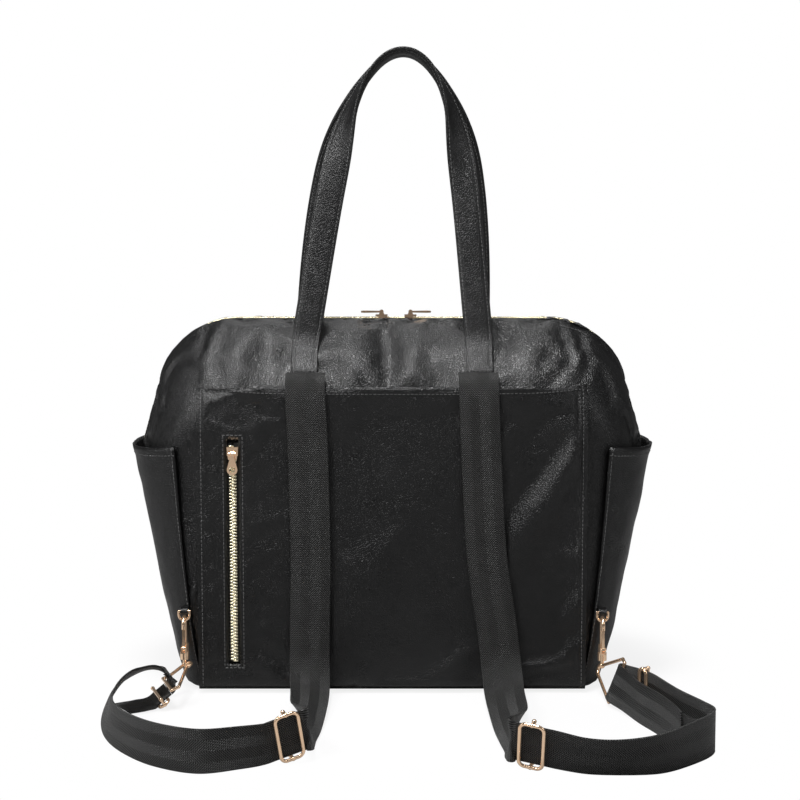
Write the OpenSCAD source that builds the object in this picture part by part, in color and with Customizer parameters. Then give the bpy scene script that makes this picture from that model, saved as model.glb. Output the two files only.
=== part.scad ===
// Convertible diaper bag: a domed soft tote with two handles, a back and a
// front zip pocket, side bottle pockets and two clip-on backpack straps.
// Frame: +Z up, origin at the centre of the base, the strap side faces -Y.

/* [Bag body] */
// Height of the bag body at the top zip
bag_h = 298.5; // [280:0.5:320]
// Half width of the base
base_half_w = 163; // [150:1:175]
// Half width of the straight part of the top
top_half_w = 127; // [115:1:135]
// Radius of the rounded top corners
corner_r = 68; // [60:1:74]
// Angle through which each top corner turns
corner_turn = 74; // [70:1:78]
// Half depth of the body
half_d = 70; // [64:1:76]
// Thickness of the leather panels
leather_t = 1.5; // [1.2:0.1:1.8]

/* [Pockets] */
// Height of the side pocket mouths
side_pocket_h = 197; // [170:1:205]
// Height of the back and front pocket mouths
pocket_h = 249; // [235:1:252]
// Half width of the back and front pocket panels
pocket_half_w = 156; // [150:1:158]

/* [Zips] */
// Width of the closed metal chain
chain_w = 6; // [5.5:0.1:6.5]
// Thickness of the closed metal chain
chain_t = 2.4; // [2.2:0.1:2.6]
// Length of the pull tabs
pull_len = 17; // [14:1:20]

/* [Handles] */
// Width of a handle band
handle_w = 23; // [20:1:28]
// Thickness of a handle band
handle_t = 4; // [3:0.5:5]
// Height of the handle tops above the floor
handle_top = 515; // [480:1:530]

/* [Straps] */
// Width of the webbing
web_w = 32; // [30:0.5:33]
// Thickness of the webbing
web_t = 1.4; // [1.2:0.1:1.6]
// Radius of the wire in adjusters and strap eyes
wire_r = 1.3; // [1.1:0.1:1.4]

/* [Hidden] */
$fn = 40;

leather = [0.11, 0.11, 0.115];
web_black = [0.17, 0.17, 0.165];
gold = [0.86, 0.70, 0.52];
pale_gold = [0.85, 0.80, 0.64];
lining_grey = [0.35, 0.35, 0.37];

// ---- Shape of the body --------------------------------------------------
side_h = 196;                                  // height where the zip track ends
ridge_half = 6;                                // half gap between the panels at the zip
turn_x = top_half_w + corner_r * sin(corner_turn);
turn_z = bag_h - corner_r + corner_r * cos(corner_turn);
tail_len = (turn_z - side_h) / sin(corner_turn);
arc_len = corner_r * corner_turn * PI / 180;
track_len = top_half_w + arc_len + tail_len;   // half the length of the top zip
side_half_w = turn_x + tail_len * cos(corner_turn);

function clamp01(v) = min(1, max(0, v));
// Point (x, z) at distance s along the top zip, measured from its middle
function track(s) =
    let (g = s < 0 ? -1 : 1, q = abs(s))
    q < top_half_w ? [s, bag_h]
    : q < top_half_w + arc_len
        ? let (a = (q - top_half_w) / corner_r * 180 / PI)
          [g * (top_half_w + corner_r * sin(a)), bag_h - corner_r + corner_r * cos(a)]
    : let (r = q - top_half_w - arc_len)
      [g * (turn_x + r * cos(corner_turn)), turn_z - r * sin(corner_turn)];
// Height of the zip above a given x, and half width at a given height
function roof(x) =
    let (q = abs(x))
    q < top_half_w ? bag_h
    : q < turn_x ? bag_h - corner_r + sqrt(max(0, corner_r ^ 2 - (q - top_half_w) ^ 2))
    : turn_z - (q - turn_x) * tan(corner_turn);
function side_w(z) = base_half_w + (side_half_w - base_half_w) * clamp01(z / side_h) ^ 0.75;
function reach(z) =
    z < side_h ? side_w(z)
    : z < turn_z ? turn_x + (turn_z - z) / tan(corner_turn)
    : top_half_w + sqrt(max(0, corner_r ^ 2 - (z - bag_h + corner_r) ^ 2));
function edge_d(z) = ridge_half + 46 * max(0, 1 - z / side_h);
function depth(z) = half_d - 5 * max(0, 1 - z / 60) ^ 2;
function corner_x(z) = 18 + 30 * clamp01(z / side_h);
// Half depth of the body at (x, z)
function half_y(x, z) =
    let (up = clamp01((roof(x) - z) / 80),
         in = clamp01((side_w(z) - abs(x)) / corner_x(z)),
         f = sin(90 * up) ^ 0.8 * sqrt(max(0, 1 - (1 - in) ^ 2)))
    edge_d(z) + (depth(z) - edge_d(z)) * f;
// Point of the back surface; u runs along the zip, t from base to zip
function skin(u, t) =
    let (p = track(u * (track_len - 1)), z = 1.9 + t * (p[1] - 2.3),
         x = (base_half_w - 1) * u + (p[0] - (base_half_w - 1) * u) * t ^ 0.75)
    [x, -half_y(x, z), z];

// ---- Solids from grids of points ------------------------------------------
function unit(v) = v / norm(v);
function grid_normal(g, i, j) =
    let (n = len(g) - 1, m = len(g[0]) - 1,
         a = g[min(n, i + 1)][j] - g[max(0, i - 1)][j],
         b = g[i][min(m, j + 1)] - g[i][max(0, j - 1)],
         c = cross(a, b))
    norm(c) < 1e-6 ? [0, -1, 0] : unit(c);
// The grid moved by d along its normals
function moved(g, d) = [for (i = [0 : len(g) - 1]) [for (j = [0 : len(g[0]) - 1])
    g[i][j] + d * grid_normal(g, i, j)]];
// Closed sheet between two grids of the same size
module sheet(outer, inner) {
    n = len(outer);
    m = len(outer[0]);
    points = [for (g = [outer, inner]) for (r = g) for (p = r) p];
    function id(k, i, j) = k * n * m + i * m + j;
    function quad(a, b, c, d) = [[a, b, c], [a, c, d]];
    faces = [
        for (i = [0 : n - 2]) for (j = [0 : m - 2]) each concat(
            quad(id(0, i, j), id(0, i, j + 1), id(0, i + 1, j + 1), id(0, i + 1, j)),
            quad(id(1, i, j), id(1, i + 1, j), id(1, i + 1, j + 1), id(1, i, j + 1))),
        for (i = [0 : n - 2]) each concat(
            quad(id(0, i, 0), id(0, i + 1, 0), id(1, i + 1, 0), id(1, i, 0)),
            quad(id(0, i + 1, m - 1), id(0, i, m - 1), id(1, i, m - 1), id(1, i + 1, m - 1))),
        for (j = [0 : m - 2]) each concat(
            quad(id(0, 0, j + 1), id(0, 0, j), id(1, 0, j), id(1, 0, j + 1)),
            quad(id(0, n - 1, j), id(0, n - 1, j + 1), id(1, n - 1, j + 1), id(1, n - 1, j)))
    ];
    polyhedron(points, faces);
}

// ---- Body shells ----------------------------------------------------------
module half_panel() {
    cols = 26;
    rows = 12;
    g = [for (i = [0 : cols]) [for (j = [0 : rows]) skin(sin(180 * i / cols - 90), sin(90 * j / rows))]];
    sheet(moved(g, -leather_t), g);
}
module back_panel() { color(leather) half_panel(); }
module front_panel() { color(leather) mirror([0, 1, 0]) half_panel(); }
module side_gussets() {
    rows = 10;
    gap = 0.5;
    color(leather) for (s = [-1, 1]) {
        z = [for (i = [0 : rows]) 1.9 + (side_h - 4) * i / rows];
        outer = [for (v = z) [for (y = [-1, 1]) [s * side_w(v), y * (edge_d(v) - gap), v]]];
        inner = [for (v = z) [for (y = [-1, 1]) [s * (side_w(v) - leather_t), y * (edge_d(v) - gap), v]]];
        if (s > 0) sheet(outer, inner);
        else sheet(inner, outer);
    }
}
module base_plate(inset, r) {
    offset(r) square([2 * (base_half_w - inset - r), 2 * (65 - inset - r)], center = true);
}
module base_panel() {
    color(leather) linear_extrude(leather_t) base_plate(0, 16);
}
module base_board() {
    color("dimgray") translate([0, 0, 1.9]) linear_extrude(2) base_plate(5, 12);
}
// One level of the lining, a closed ring of points inset from the skin
function lining_ring(z, inset) =
    let (n = 30, w = reach(z) - inset)
    [for (k = [0 : 2 * n - 1])
        let (s = k < n ? -1 : 1,
             x = (k < n ? 1 : -1) * w * cos(180 * (k % n + 0.5) / n),
             y = max(2, half_y(x, z) - inset))
        [-x, s * y, z]];
module lining_tub(inset, low, high) {
    rings = 16;
    n = 60;
    levels = [for (i = [0 : rings]) lining_ring(low + (high - low) * i / rings, inset)];
    polyhedron(
        points = [for (r = levels) for (p = r) p],
        faces = [
            [for (k = [0 : n - 1]) k],
            [for (k = [n - 1 : -1 : 0]) rings * n + k],
            for (i = [0 : rings - 1]) for (k = [0 : n - 1]) each
                let (a = i * n + k, b = i * n + (k + 1) % n)
                [[a, a + n, b + n], [a, b + n, b]]
        ]);
}
module lining() {
    color(lining_grey) difference() {
        lining_tub(7.5, 5, 284);
        lining_tub(8.3, 5.8, 285);
    }
}
// Elasticated slip pockets on the inside of the front
module inner_pockets() {
    color(lining_grey) for (x = [-110, -35, 40])
        translate([x, half_d - 12.5, 30]) cube([70, 0.9, 105]);
}

// ---- Zips -------------------------------------------------------------------
// Two rows of chain or tape with a slit between them, along +X
module two_rows(length, w, t, slit) {
    for (s = [-1, 1]) translate([0, s > 0 ? slit / 2 : -w / 2, -t / 2])
        cube([length, (w - slit) / 2, t]);
}
// The same cross-section carried around the top of the bag, drop below the ridge
module top_run(w, t, drop, slit) {
    r = corner_r - drop;
    for (s = [-1, 1]) {
        y = s * (w + slit) / 4;
        b = (w - slit) / 2;
        translate([-top_half_w, y - b / 2, bag_h - drop - t / 2]) cube([2 * top_half_w, b, t]);
        for (m = [0, 1]) mirror([m, 0, 0]) {
            translate([top_half_w, 0, bag_h - corner_r]) rotate([90, 0, 0])
                rotate([0, 0, 90 - corner_turn]) rotate_extrude(angle = corner_turn, $fn = 96)
                    translate([r, -y]) square([t, b], center = true);
            translate([turn_x, 0, turn_z]) rotate([0, corner_turn, 0])
                translate([0, y - b / 2, -drop - t / 2]) cube([tail_len - 2, b, t]);
        }
    }
}
tape_drop = 2.3;
module top_zip_tape() { color("black") top_run(11, 0.6, tape_drop, 1); }
module top_zip_chain() { color(pale_gold) top_run(chain_w, chain_t, tape_drop - 0.3 - 1.25, 1); }

// Slider on a chain that runs along X and faces +Z, with its origin at the chain's middle
pin_z = 5.2;
pin_r = 0.7;
module slider() {
    top_z = chain_t / 2 + 0.3;
    flange = chain_w / 2 + 0.35;
    hull() {
        translate([-5, -3.4, top_z]) cube([1, 6.8, 1.3]);
        translate([4, -4.6, top_z]) cube([1, 9.2, 1.3]);
    }
    for (s = [-1, 1]) translate([-2, s > 0 ? flange : -flange - 1, -0.9])
        cube([7, 1, top_z + 0.9 + 1.3]);
    // lower plate under the tape, held by a thin web in the slit
    translate([-5, -4.2, -3.4]) cube([10, 8.4, 1]);
    translate([-1.5, -0.35, -2.5]) cube([3, 0.7, top_z + 2.6]);
    // two ears that hold the pull's pin
    for (s = [-1, 1]) translate([0, s * 2.4, 0]) rotate([90, 0, 0])
        translate([0, 0, -0.6]) linear_extrude(1.2) hull() {
            translate([-2.2, top_z + 1]) square([4.4, 0.4]);
            translate([0, pin_z]) circle(1.3);
        }
    translate([0, 3, pin_z]) rotate([90, 0, 0]) cylinder(r = pin_r, h = 6);
}
// Pull tab that points along -X from the pin
module pull() {
    translate([0, 0, pin_z]) {
        difference() {
            union() {
                translate([0, 1.6, 0]) rotate([90, 0, 0]) cylinder(r = 1.7, h = 3.2);
                translate([-4, -1.4, -0.7]) cube([3.2, 2.8, 1.4]);
                translate([0, 0, -0.7]) linear_extrude(1.4) difference() {
                    hull() {
                        translate([-4, 0]) circle(1.9);
                        translate([-pull_len + 4.2, 0]) circle(4.2);
                    }
                    translate([-pull_len + 4.2, 0]) circle(2.3);
                }
            }
            translate([0, 2, 0]) rotate([90, 0, 0]) cylinder(r = pin_r + 0.08, h = 4);
        }
    }
}
chain_mid = bag_h - (tape_drop - 1.55);        // middle of the top chain
slider_x = [-9, 15];                            // the two top sliders at rest
module on_top(k) { translate([slider_x[k], 0, chain_mid]) children(); }
module top_slider_left() { color(gold) on_top(0) slider(); }
module top_slider_right() { color(gold) on_top(1) mirror([1, 0, 0]) slider(); }
module top_pull_left() { color(gold) on_top(0) pull(); }
module top_pull_right() { color(gold) on_top(1) mirror([1, 0, 0]) pull(); }

// ---- Back and front pockets -------------------------------------------------
// Sheet at a given distance behind the back surface
module patch(w, low, high, gap, t, round_top = 0) {
    cols = 16;
    rows = 20;
    function y(x, z) = -half_y(x, max(z, 50)) - gap;
    g = [for (i = [0 : cols]) [for (j = [0 : rows])
        let (x = w * (2 * i / cols - 1),
             top = high - round_top * max(0, abs(x / w) - 0.92) / 0.08,
             z = low + (top - low) * j / rows)
        [x, y(x, z), z]]];
    outer = [for (r = g) [for (p = r) p - [0, t, 0]]];
    sheet(outer, g);
}
zip_x = 127;                                    // distance of the back zip from the middle
zip_low = 26;
zip_high = 201;
fzip_z = 205;                                   // height of the front pocket's zip
fzip_half = 85;
layer_chain = half_d + 6.4;                     // the pocket chains' distance from the middle
module pocket_body() { patch(pocket_half_w, 3.5, pocket_h, 5.4, leather_t); }
module back_pocket_panel() {
    color(leather) difference() {
        pocket_body();
        translate([-zip_x - 6, -half_d - 12, zip_low - 3]) cube([12, 12, zip_high - zip_low + 12]);
    }
}
module front_pocket_panel() {
    color(leather) mirror([0, 1, 0]) difference() {
        pocket_body();
        translate([-fzip_half - 9, -half_d - 12, fzip_z - 6]) cube([2 * fzip_half + 18, 12, 12]);
    }
}
module back_pocket_divider() { color(leather) patch(120, 20, pocket_h - 2, 1.4, 0.9, 8); }
// Runs a zip part down the back zip; its +X points down
module down_back() { translate([-zip_x, -layer_chain, 0]) rotate([90, 90, 0]) children(); }
module across_front() { translate([0, layer_chain, fzip_z]) rotate([-90, 0, 0]) children(); }
zip_len = zip_high - zip_low;
module back_zip_tape() {
    color("black") down_back() translate([-zip_high - 4, 0, -1.65]) two_rows(zip_len + 5, 22, 0.5, 1);
}
module back_zip_chain() {
    color(pale_gold) down_back() translate([-zip_high, 0, 0]) two_rows(zip_len, chain_w, chain_t, 1);
}
bslider_z = zip_high - 6;
module at_back_slider() { down_back() translate([-bslider_z, 0, 0]) mirror([1, 0, 0]) children(); }
module back_zip_slider() { color(gold) at_back_slider() slider(); }
module back_zip_pull() { color(gold) at_back_slider() pull(); }
module back_zip_pouch() {
    color(lining_grey) translate([-zip_x - 22, -half_d - 2.6, 52]) cube([28, 0.5, 138]);
}
module front_zip_tape() {
    color("black") across_front() translate([-fzip_half - 4, 0, -1.65])
        two_rows(2 * fzip_half + 8, 22, 0.5, 1);
}
module front_zip_chain() {
    color(pale_gold) across_front() translate([-fzip_half, 0, 0])
        two_rows(2 * fzip_half, chain_w, chain_t, 1);
}
fslider_x = fzip_half - 6;
module at_front_slider() { across_front() translate([fslider_x, 0, 0]) mirror([1, 0, 0]) children(); }
module front_zip_slider() { color(gold) at_front_slider() slider(); }
module front_zip_pull() { color(gold) at_front_slider() pull(); }
module front_zip_pouch() {
    color(lining_grey) translate([-100, half_d + 2, 60]) cube([200, 0.6, 135]);
}

// ---- Side pockets -------------------------------------------------------------
// Section of the side at height z, moved out by gap; a runs from -1 (back) to 1 (front)
function side_point(z, a, gap) =
    let (r = corner_x(z), e = edge_d(z), c = side_w(z) - r, q = abs(a), s = a < 0 ? -1 : 1,
         turn = 72 * clamp01((q - 0.3) / 0.7))
    q < 0.3 ? [c + r + gap, e * a / 0.3, z]
    : [c + (r + gap) * cos(turn), s * (e + (depth(z) - e + gap) * sin(turn)), z];
module side_pocket() {
    cols = 20;
    rows = 10;
    function gap(i) = 1.2 + 5 * (i / rows) ^ 2;
    z = [for (i = [0 : rows]) 4 + (side_pocket_h - 4) * i / rows];
    a = [for (k = [0 : cols]) 2 * k / cols - 1];
    outer = [for (i = [0 : rows]) [for (b = a) side_point(z[i], b, gap(i) + leather_t)]];
    inner = [for (i = [0 : rows]) [for (b = a) side_point(z[i], b, gap(i))]];
    sheet(outer, inner);
}
module side_pocket_right() { color(leather) side_pocket(); }
module side_pocket_left() { color(leather) mirror([1, 0, 0]) side_pocket(); }

// ---- Ribbons --------------------------------------------------------------------
function between(a, b, ta, tb, t) = ((tb - t) * a + (t - ta) * b) / (tb - ta);
function spacing(a, b) = sqrt(max(0.01, norm(head(a) - head(b))));
// Station at fraction k from q to r on an even curve through p, q, r and s
function blend4(p, q, r, s, k) =
    let (t1 = spacing(p, q), t2 = t1 + spacing(q, r), t3 = t2 + spacing(r, s), t = t1 + (t2 - t1) * k,
         a = between(p, q, 0, t1, t), b = between(q, r, t1, t2, t), c = between(r, s, t2, t3, t))
    between(between(a, b, 0, t2, t), between(b, c, t1, t3, t), t1, t2, t);
// Smooth run through stations [x, y, z, wx, wy, wz]: a centre and a width direction
function smooth(st, n) =
    let (m = len(st) - 1, a = concat([2 * st[0] - st[1]], st, [2 * st[m] - st[m - 1]]))
    concat([for (i = [0 : m - 1]) for (k = [0 : n - 1])
        blend4(a[i], a[i + 1], a[i + 2], a[i + 3], k / n)], [st[m]]);
function head(v) = [v[0], v[1], v[2]];
function wide(v) = [v[3], v[4], v[5]];
module ribbon(run, w, t) {
    m = len(run) - 1;
    secs = [for (i = [0 : m])
        let (c = head(run[i]),
             dir = unit(head(run[min(m, i + 1)]) - head(run[max(0, i - 1)])),
             wd = unit(wide(run[i]) - (wide(run[i]) * dir) * dir) * w / 2,
             nd = unit(cross(dir, wd)) * t / 2)
        [c - wd - nd, c + wd - nd, c + wd + nd, c - wd + nd]];
    polyhedron(
        points = [for (s = secs) for (p = s) p],
        faces = [
            [3, 2, 1, 0],
            [for (k = [0 : 3]) 4 * m + k],
            for (i = [0 : m - 1]) for (k = [0 : 3]) each
                let (a = 4 * i + k, b = 4 * i + (k + 1) % 4)
                [[a, b, b + 4], [a, b + 4, a + 4]]
        ]);
}

// ---- Handles ----------------------------------------------------------------------
hinge_z = 279;                                  // where the bands leave their tabs
hinge_y = 39;
leg_x = 70.5;
// Station of a handle at angle p (0 to 180) along its arch; spread bows the legs out
function handle_station(p, spread) =
    let (h = sin(p), g = cos(p) < 0 ? -1 : 1,
         half = leg_x * (1 - 0.42 * h + spread * h * (1 - h)) * sqrt(max(0, 1 - h ^ 6)),
         turn = clamp01(2 * h - 1),
         w = 90 * (turn * turn * (3 - 2 * turn)))
    [9 * h - g * half, -13 - (hinge_y - 13) * (1 - h) ^ 1.3,
     hinge_z + 1.5 + (handle_top - 3.5 - hinge_z) * h, g * cos(w), -sin(w), 0];
module handle(spread) {
    n = 48;
    ribbon([for (i = [0 : n]) handle_station(180 * i / n, spread)], handle_w, handle_t);
}
module handle_back() { color(leather) handle(0); }
module handle_front() { color(leather) mirror([0, 1, 0]) handle(0.4); }
tab_low = 256;
module handle_tabs() {
    rows = 5;
    for (s = [-1, 1]) {
        g = [for (i = [0 : 1]) [for (j = [0 : rows])
            let (x = s * leg_x + handle_w * (i - 0.5), z = tab_low + (hinge_z - 3 - tab_low) * j / rows)
            [x, -half_y(s * leg_x, z) - 3.4, z]]];
        outer = [for (r = g) [for (p = r) p - [0, 2.4, 0]]];
        sheet(outer, g);
    }
}
module handle_tabs_back() { color(leather) handle_tabs(); }
module handle_tabs_front() { color(leather) mirror([0, 1, 0]) handle_tabs(); }

// ---- Straps -------------------------------------------------------------------------
web_y = half_d + 12;                            // hanging webbing's distance from the middle
floor_z = web_w / 2 + 0.3;                      // centre of webbing that stands on its edge
fold_r = wire_r + 1.2 + web_t / 2;
frame_w = web_w / 2 + 0.4 + wire_r;             // half width of the wire frames
adjust_l = [-72.6, -269.5, 20.4];
adjust_dir_l = unit([-0.89, -0.39, -0.227]);
adjust_w_l = unit([0.133, 0.253, -0.958]);
fold_l = [-177, -112, 16];
across_l = unit([-0.3, 0.954, 0]);
fold_x_l = cross(across_l, [0, 0, 1]);
// Point x beside and z above the left eye's bar
function by_bar(x, z) = fold_l + x * fold_x_l + [0, 0, z];
keeper_dir_l = -0.8 * fold_x_l - [0, 0, 0.6];
keeper_l = by_bar(fold_r * 0.6, -fold_r * 0.8) + 11 * keeper_dir_l;
adjust_r = [98, -291.5, 20.4];
adjust_dir_r = unit([0.94, -0.32, -0.126]);
adjust_w_r = unit([0.01, -0.344, 0.938]);
fold_r_at = [176.5, -117, 18.6];
across_r = unit([0.3, -0.25, 0.92]);
back_n = [0.87, 0.49, 0];                       // across and along the right strap's end
back_t = [-0.49, 0.87, 0];
fold_x_r = unit(cross(back_t, across_r));
keeper_r = fold_r_at - 33 * back_t + 3 * back_n + [0, 0, 0.6];
keeper_w_r = [0, 0, 1];
function at(p, w) = concat(p, w);
// Station of the fold around an eye's bar, at angle a from the direction x
function round_bar(bar, x, across, a) =
    at(bar + fold_r * (cos(a) * x + sin(a) * cross(across, x)), across);
// Stations of the straight run through an adjuster
function straight(p, dir, w) = [for (s = [-15, -11, 0, 12, 18]) at(p + s * dir, w)];
left_path = [
    at([-69, -68, 252.4], [1, 0, 0]), at([-68.5, -79, 241], [1, 0, 0]), at([-67, -web_y, 205], [1, 0, 0]),
    at([-65, -web_y, 110], [1, 0, 0]), at([-66, -web_y, 50], [1, 0, 0]),
    at([-66, -web_y - 3, 26], [1, 0, -0.03]), at([-65, -105, 14], [0.98, 0, -0.2]),
    at([-64, -150, 13], [0.85, 0.1, -0.5]), at([-64, -190, 12.5], [0.7, 0.05, -0.7]),
    at([-63, -220, 15.5], [0.45, 0.1, -0.87]), at([-60, -246, 20], [0.22, 0.2, -0.95]),
    each straight(adjust_l, adjust_dir_l, adjust_w_l),
    at([-107, -286, floor_z], [0.05, 0.12, -1]),
    at([-133, -294, floor_z], [0, 0, -1]), at([-165, -278, floor_z], [0, 0, -1]),
    at([-191, -248, floor_z], [0, 0, -1]), at([-206, -218, 17], [-0.15, 0.1, -0.98]),
    at([-212, -186, 19], [-0.35, 0.1, -0.9]), at([-211, -158, 23], [-0.5, 0.3, -0.8]),
    at([-205, -136, 27.5], [-0.55, 0.6, -0.55]), at([-194, -122, 30], [-0.5, 0.78, -0.38]),
    at(by_bar(-8.5, 13), [-0.38, 0.9, -0.15]), at(by_bar(0.5, 9.5), across_l),
    for (a = [12 : -32 : -53]) round_bar(fold_l, fold_x_l, -across_l, a),
    for (s = [-7, 0, 7]) at(keeper_l + s * keeper_dir_l, across_l),
    at([-197, -121, 1.5], [-0.4, 0.9, 0]), at([-210, -129, 1.2], [-0.35, 0.93, 0])];
right_path = [
    at([69, -68, 252.4], [1, 0, 0]), at([69, -79, 241], [1, 0, 0]), at([70.5, -web_y, 205], [1, 0, 0]),
    at([76, -web_y, 110], [1, 0, 0.05]), at([84, -web_y, 55], [1, 0, 0.1]),
    at([87, -web_y - 4, 28], [1, 0, 0.12]), at([88, -107, 15], [0.95, 0, 0.22]),
    at([88, -150, 13], [0.85, 0, 0.5]), at([89, -190, 11.5], [0.77, 0, 0.63]),
    at([89, -225, 14.5], [0.6, -0.05, 0.8]), at([87.5, -252, 17.5], [0.35, -0.12, 0.93]),
    at([84, -274, 20.5], [0.12, -0.3, 0.95]),
    each straight(adjust_r, adjust_dir_r, adjust_w_r),
    at([135, -303, 15.6], [-0.06, -0.4, 0.91]),
    at([158, -304, 15], [-0.1, -0.42, 0.9]), at([186, -297, 15.5], [-0.07, -0.3, 0.95]),
    at([215, -271, floor_z], [-0.03, -0.08, 1]), at([230, -250, floor_z], [0, 0, 1]),
    at([233, -238, floor_z], [0, 0, 1]), at([228, -222, floor_z], [0, 0, 1]),
    at([214, -190, 17], [0, 0, 1]),
    for (s = [-8, 0, 8]) at(keeper_r + s * back_t, keeper_w_r),
    for (a = [-20 : 40 : 180]) round_bar(fold_r_at, fold_x_r, across_r, a),
    at([180.5, -137, 17.5], [0.15, -0.1, 1]), at([188, -167, floor_z], [0, 0, 1]),
    at([198, -198, floor_z], [0, 0, 1]), at([205, -230, floor_z], [0, 0, 1]),
    at([207.5, -250, floor_z], [0, 0, 1])];
module webbing_left() { color(web_black) ribbon(smooth(left_path, 5), web_w, web_t); }
module webbing_right() { color(web_black) ribbon(smooth(right_path, 5), web_w, web_t); }

// Rod between two points
module rod(a, b, r) {
    d = b - a;
    translate(a) rotate([0, acos(d[2] / norm(d)), atan2(d[1], d[0])]) cylinder(r = r, h = norm(d));
}
// Places children with +X along dir, +Y along the width and +Z out of the webbing
module frame_at(p, dir, across) {
    n = cross(dir, across);
    multmatrix([[dir[0], across[0], n[0], p[0]], [dir[1], across[1], n[1], p[1]],
                [dir[2], across[2], n[2], p[2]]]) children();
}
// Slide buckle: a rounded wire frame in front of the webbing and a bar behind it
module buckle(length) {
    w = frame_w;
    l = length / 2 - wire_r;
    cr = min(4.5, l - 0.2);
    lift = web_t / 2 + 0.6 + wire_r;
    translate([0, 0, lift]) {
        for (s = [-1, 1]) {
            rod([s * l, cr - w, 0], [s * l, w - cr, 0], wire_r);
            rod([cr - l, s * w, 0], [l - cr, s * w, 0], wire_r);
        }
        for (q = [0 : 3]) {
            sx = q == 0 || q == 3 ? 1 : -1;
            sy = q < 2 ? 1 : -1;
            translate([sx * (l - cr), sy * (w - cr), 0]) rotate([0, 0, 90 * q])
                rotate_extrude(angle = 90, $fn = 32) translate([cr, 0]) circle(wire_r, $fn = 24);
        }
    }
    rod([0, -w, -lift], [0, w, -lift], wire_r);
    for (s = [-1, 1]) {
        rod([0, s * w, -lift], [0, s * w, lift], wire_r);
        for (z = [-lift, lift]) translate([0, s * w, z]) sphere(wire_r * 1.3);
    }
}
module adjuster_left() { color(gold) frame_at(adjust_l, adjust_dir_l, adjust_w_l) buckle(20); }
module adjuster_right() { color(gold) frame_at(adjust_r, adjust_dir_r, adjust_w_r) buckle(20); }
module keeper_left() { color(gold) frame_at(keeper_l, keeper_dir_l, across_l) buckle(11); }
module keeper_right() { color(gold) frame_at(keeper_r, -back_t, keeper_w_r) buckle(11); }

// Swivel hook, standing on its stud with the bow at the top, flat in the YZ plane
stud_r = 1.6;
bow_r = 6;
bow_wire = 1.5;
bow_z = 28.5;
gate_z = 10;
hook_at_l = [-167, -78, 28];
hook_at_r = [169, -78, 27];
module hook_body() {
    difference() {
        union() {
            cylinder(r = 3.6, h = 6.2);
            translate([-2.4, -7.8, 6]) cube([4.8, 15.3, 5.5]);
        }
        translate([0, 0, -1]) cylinder(r = stud_r + 0.08, h = 8);
        translate([0, 0, 6.2]) cylinder(r = 2.4, h = 2.4);
        translate([-1.3, -8.5, 7.2]) cube([2.6, 5.3, 6]);
        translate([-3, -bow_r, gate_z]) rotate([0, 90, 0]) cylinder(r = 0.82, h = 6);
    }
    translate([0, bow_r, 9]) cylinder(r = bow_wire, h = bow_z - 9);
    translate([0, -bow_r, bow_z - 3]) cylinder(r = bow_wire, h = 3);
    translate([0, 0, bow_z]) rotate([90, 0, 90]) rotate_extrude(angle = 180, $fn = 48)
        translate([bow_r, 0]) circle(bow_wire, $fn = 24);
}
module hook_gate() {
    difference() {
        union() {
            translate([-1.1, -bow_r, gate_z]) rotate([0, 90, 0]) cylinder(r = 1.7, h = 2.2);
            translate([-1.1, -bow_r - 0.9, gate_z]) cube([2.2, 1.8, bow_z - 3.3 - gate_z]);
        }
        translate([-2, -bow_r, gate_z]) rotate([0, 90, 0]) cylinder(r = 0.88, h = 4);
    }
}
module gate_pin() {
    translate([-2.4, -bow_r, gate_z]) rotate([0, 90, 0]) cylinder(r = 0.8, h = 4.8);
}
// Strap eye: a wire triangle from the fold's bar to a round end that carries the stud
eye_r = 4.5;
nose_drop = 4.4;                                // stud's length below the hook body
module hook_eye(hook_at, fold, across) {
    reach_w = web_w / 2 + 2.4;
    nose = hook_at - [0, 0, nose_drop];
    middle = nose - eye_r * across;
    way = middle - fold;
    lean = unit(way - (way * across) * across);
    rod(fold - reach_w * across, fold + reach_w * across, wire_r);
    frame_at(middle, across, lean) rotate_extrude(angle = 180, $fn = 48)
        translate([eye_r, 0]) circle(wire_r, $fn = 24);
    for (s = [-1, 1]) {
        corner = fold + s * reach_w * across;
        knee = corner + 6 * lean;
        end = middle + s * eye_r * across;
        translate(corner) sphere(wire_r * 1.08);
        rod(corner, knee, wire_r);
        translate(knee) sphere(wire_r * 1.08);
        rod(knee, end, wire_r);
        translate(end) sphere(wire_r * 1.08);
    }
    translate(nose) {
        sphere(2.4);
        cylinder(r = stud_r, h = nose_drop + 6.6);
        translate([0, 0, nose_drop + 6.4]) cylinder(r = 2.2, h = 1.6);
    }
}
module hook_eye_left() { color(gold) hook_eye(hook_at_l, fold_l, across_l); }
module hook_eye_right() { color(gold) hook_eye(hook_at_r, fold_r_at, across_r); }
module hook_body_left() { color(gold) translate(hook_at_l) hook_body(); }
module hook_body_right() { color(gold) translate(hook_at_r) hook_body(); }
module hook_gate_left() { color(gold) translate(hook_at_l) hook_gate(); }
module hook_gate_right() { color(gold) translate(hook_at_r) hook_gate(); }
module gate_pin_left() { color(gold) translate(hook_at_l) gate_pin(); }
module gate_pin_right() { color(gold) translate(hook_at_r) gate_pin(); }

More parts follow.
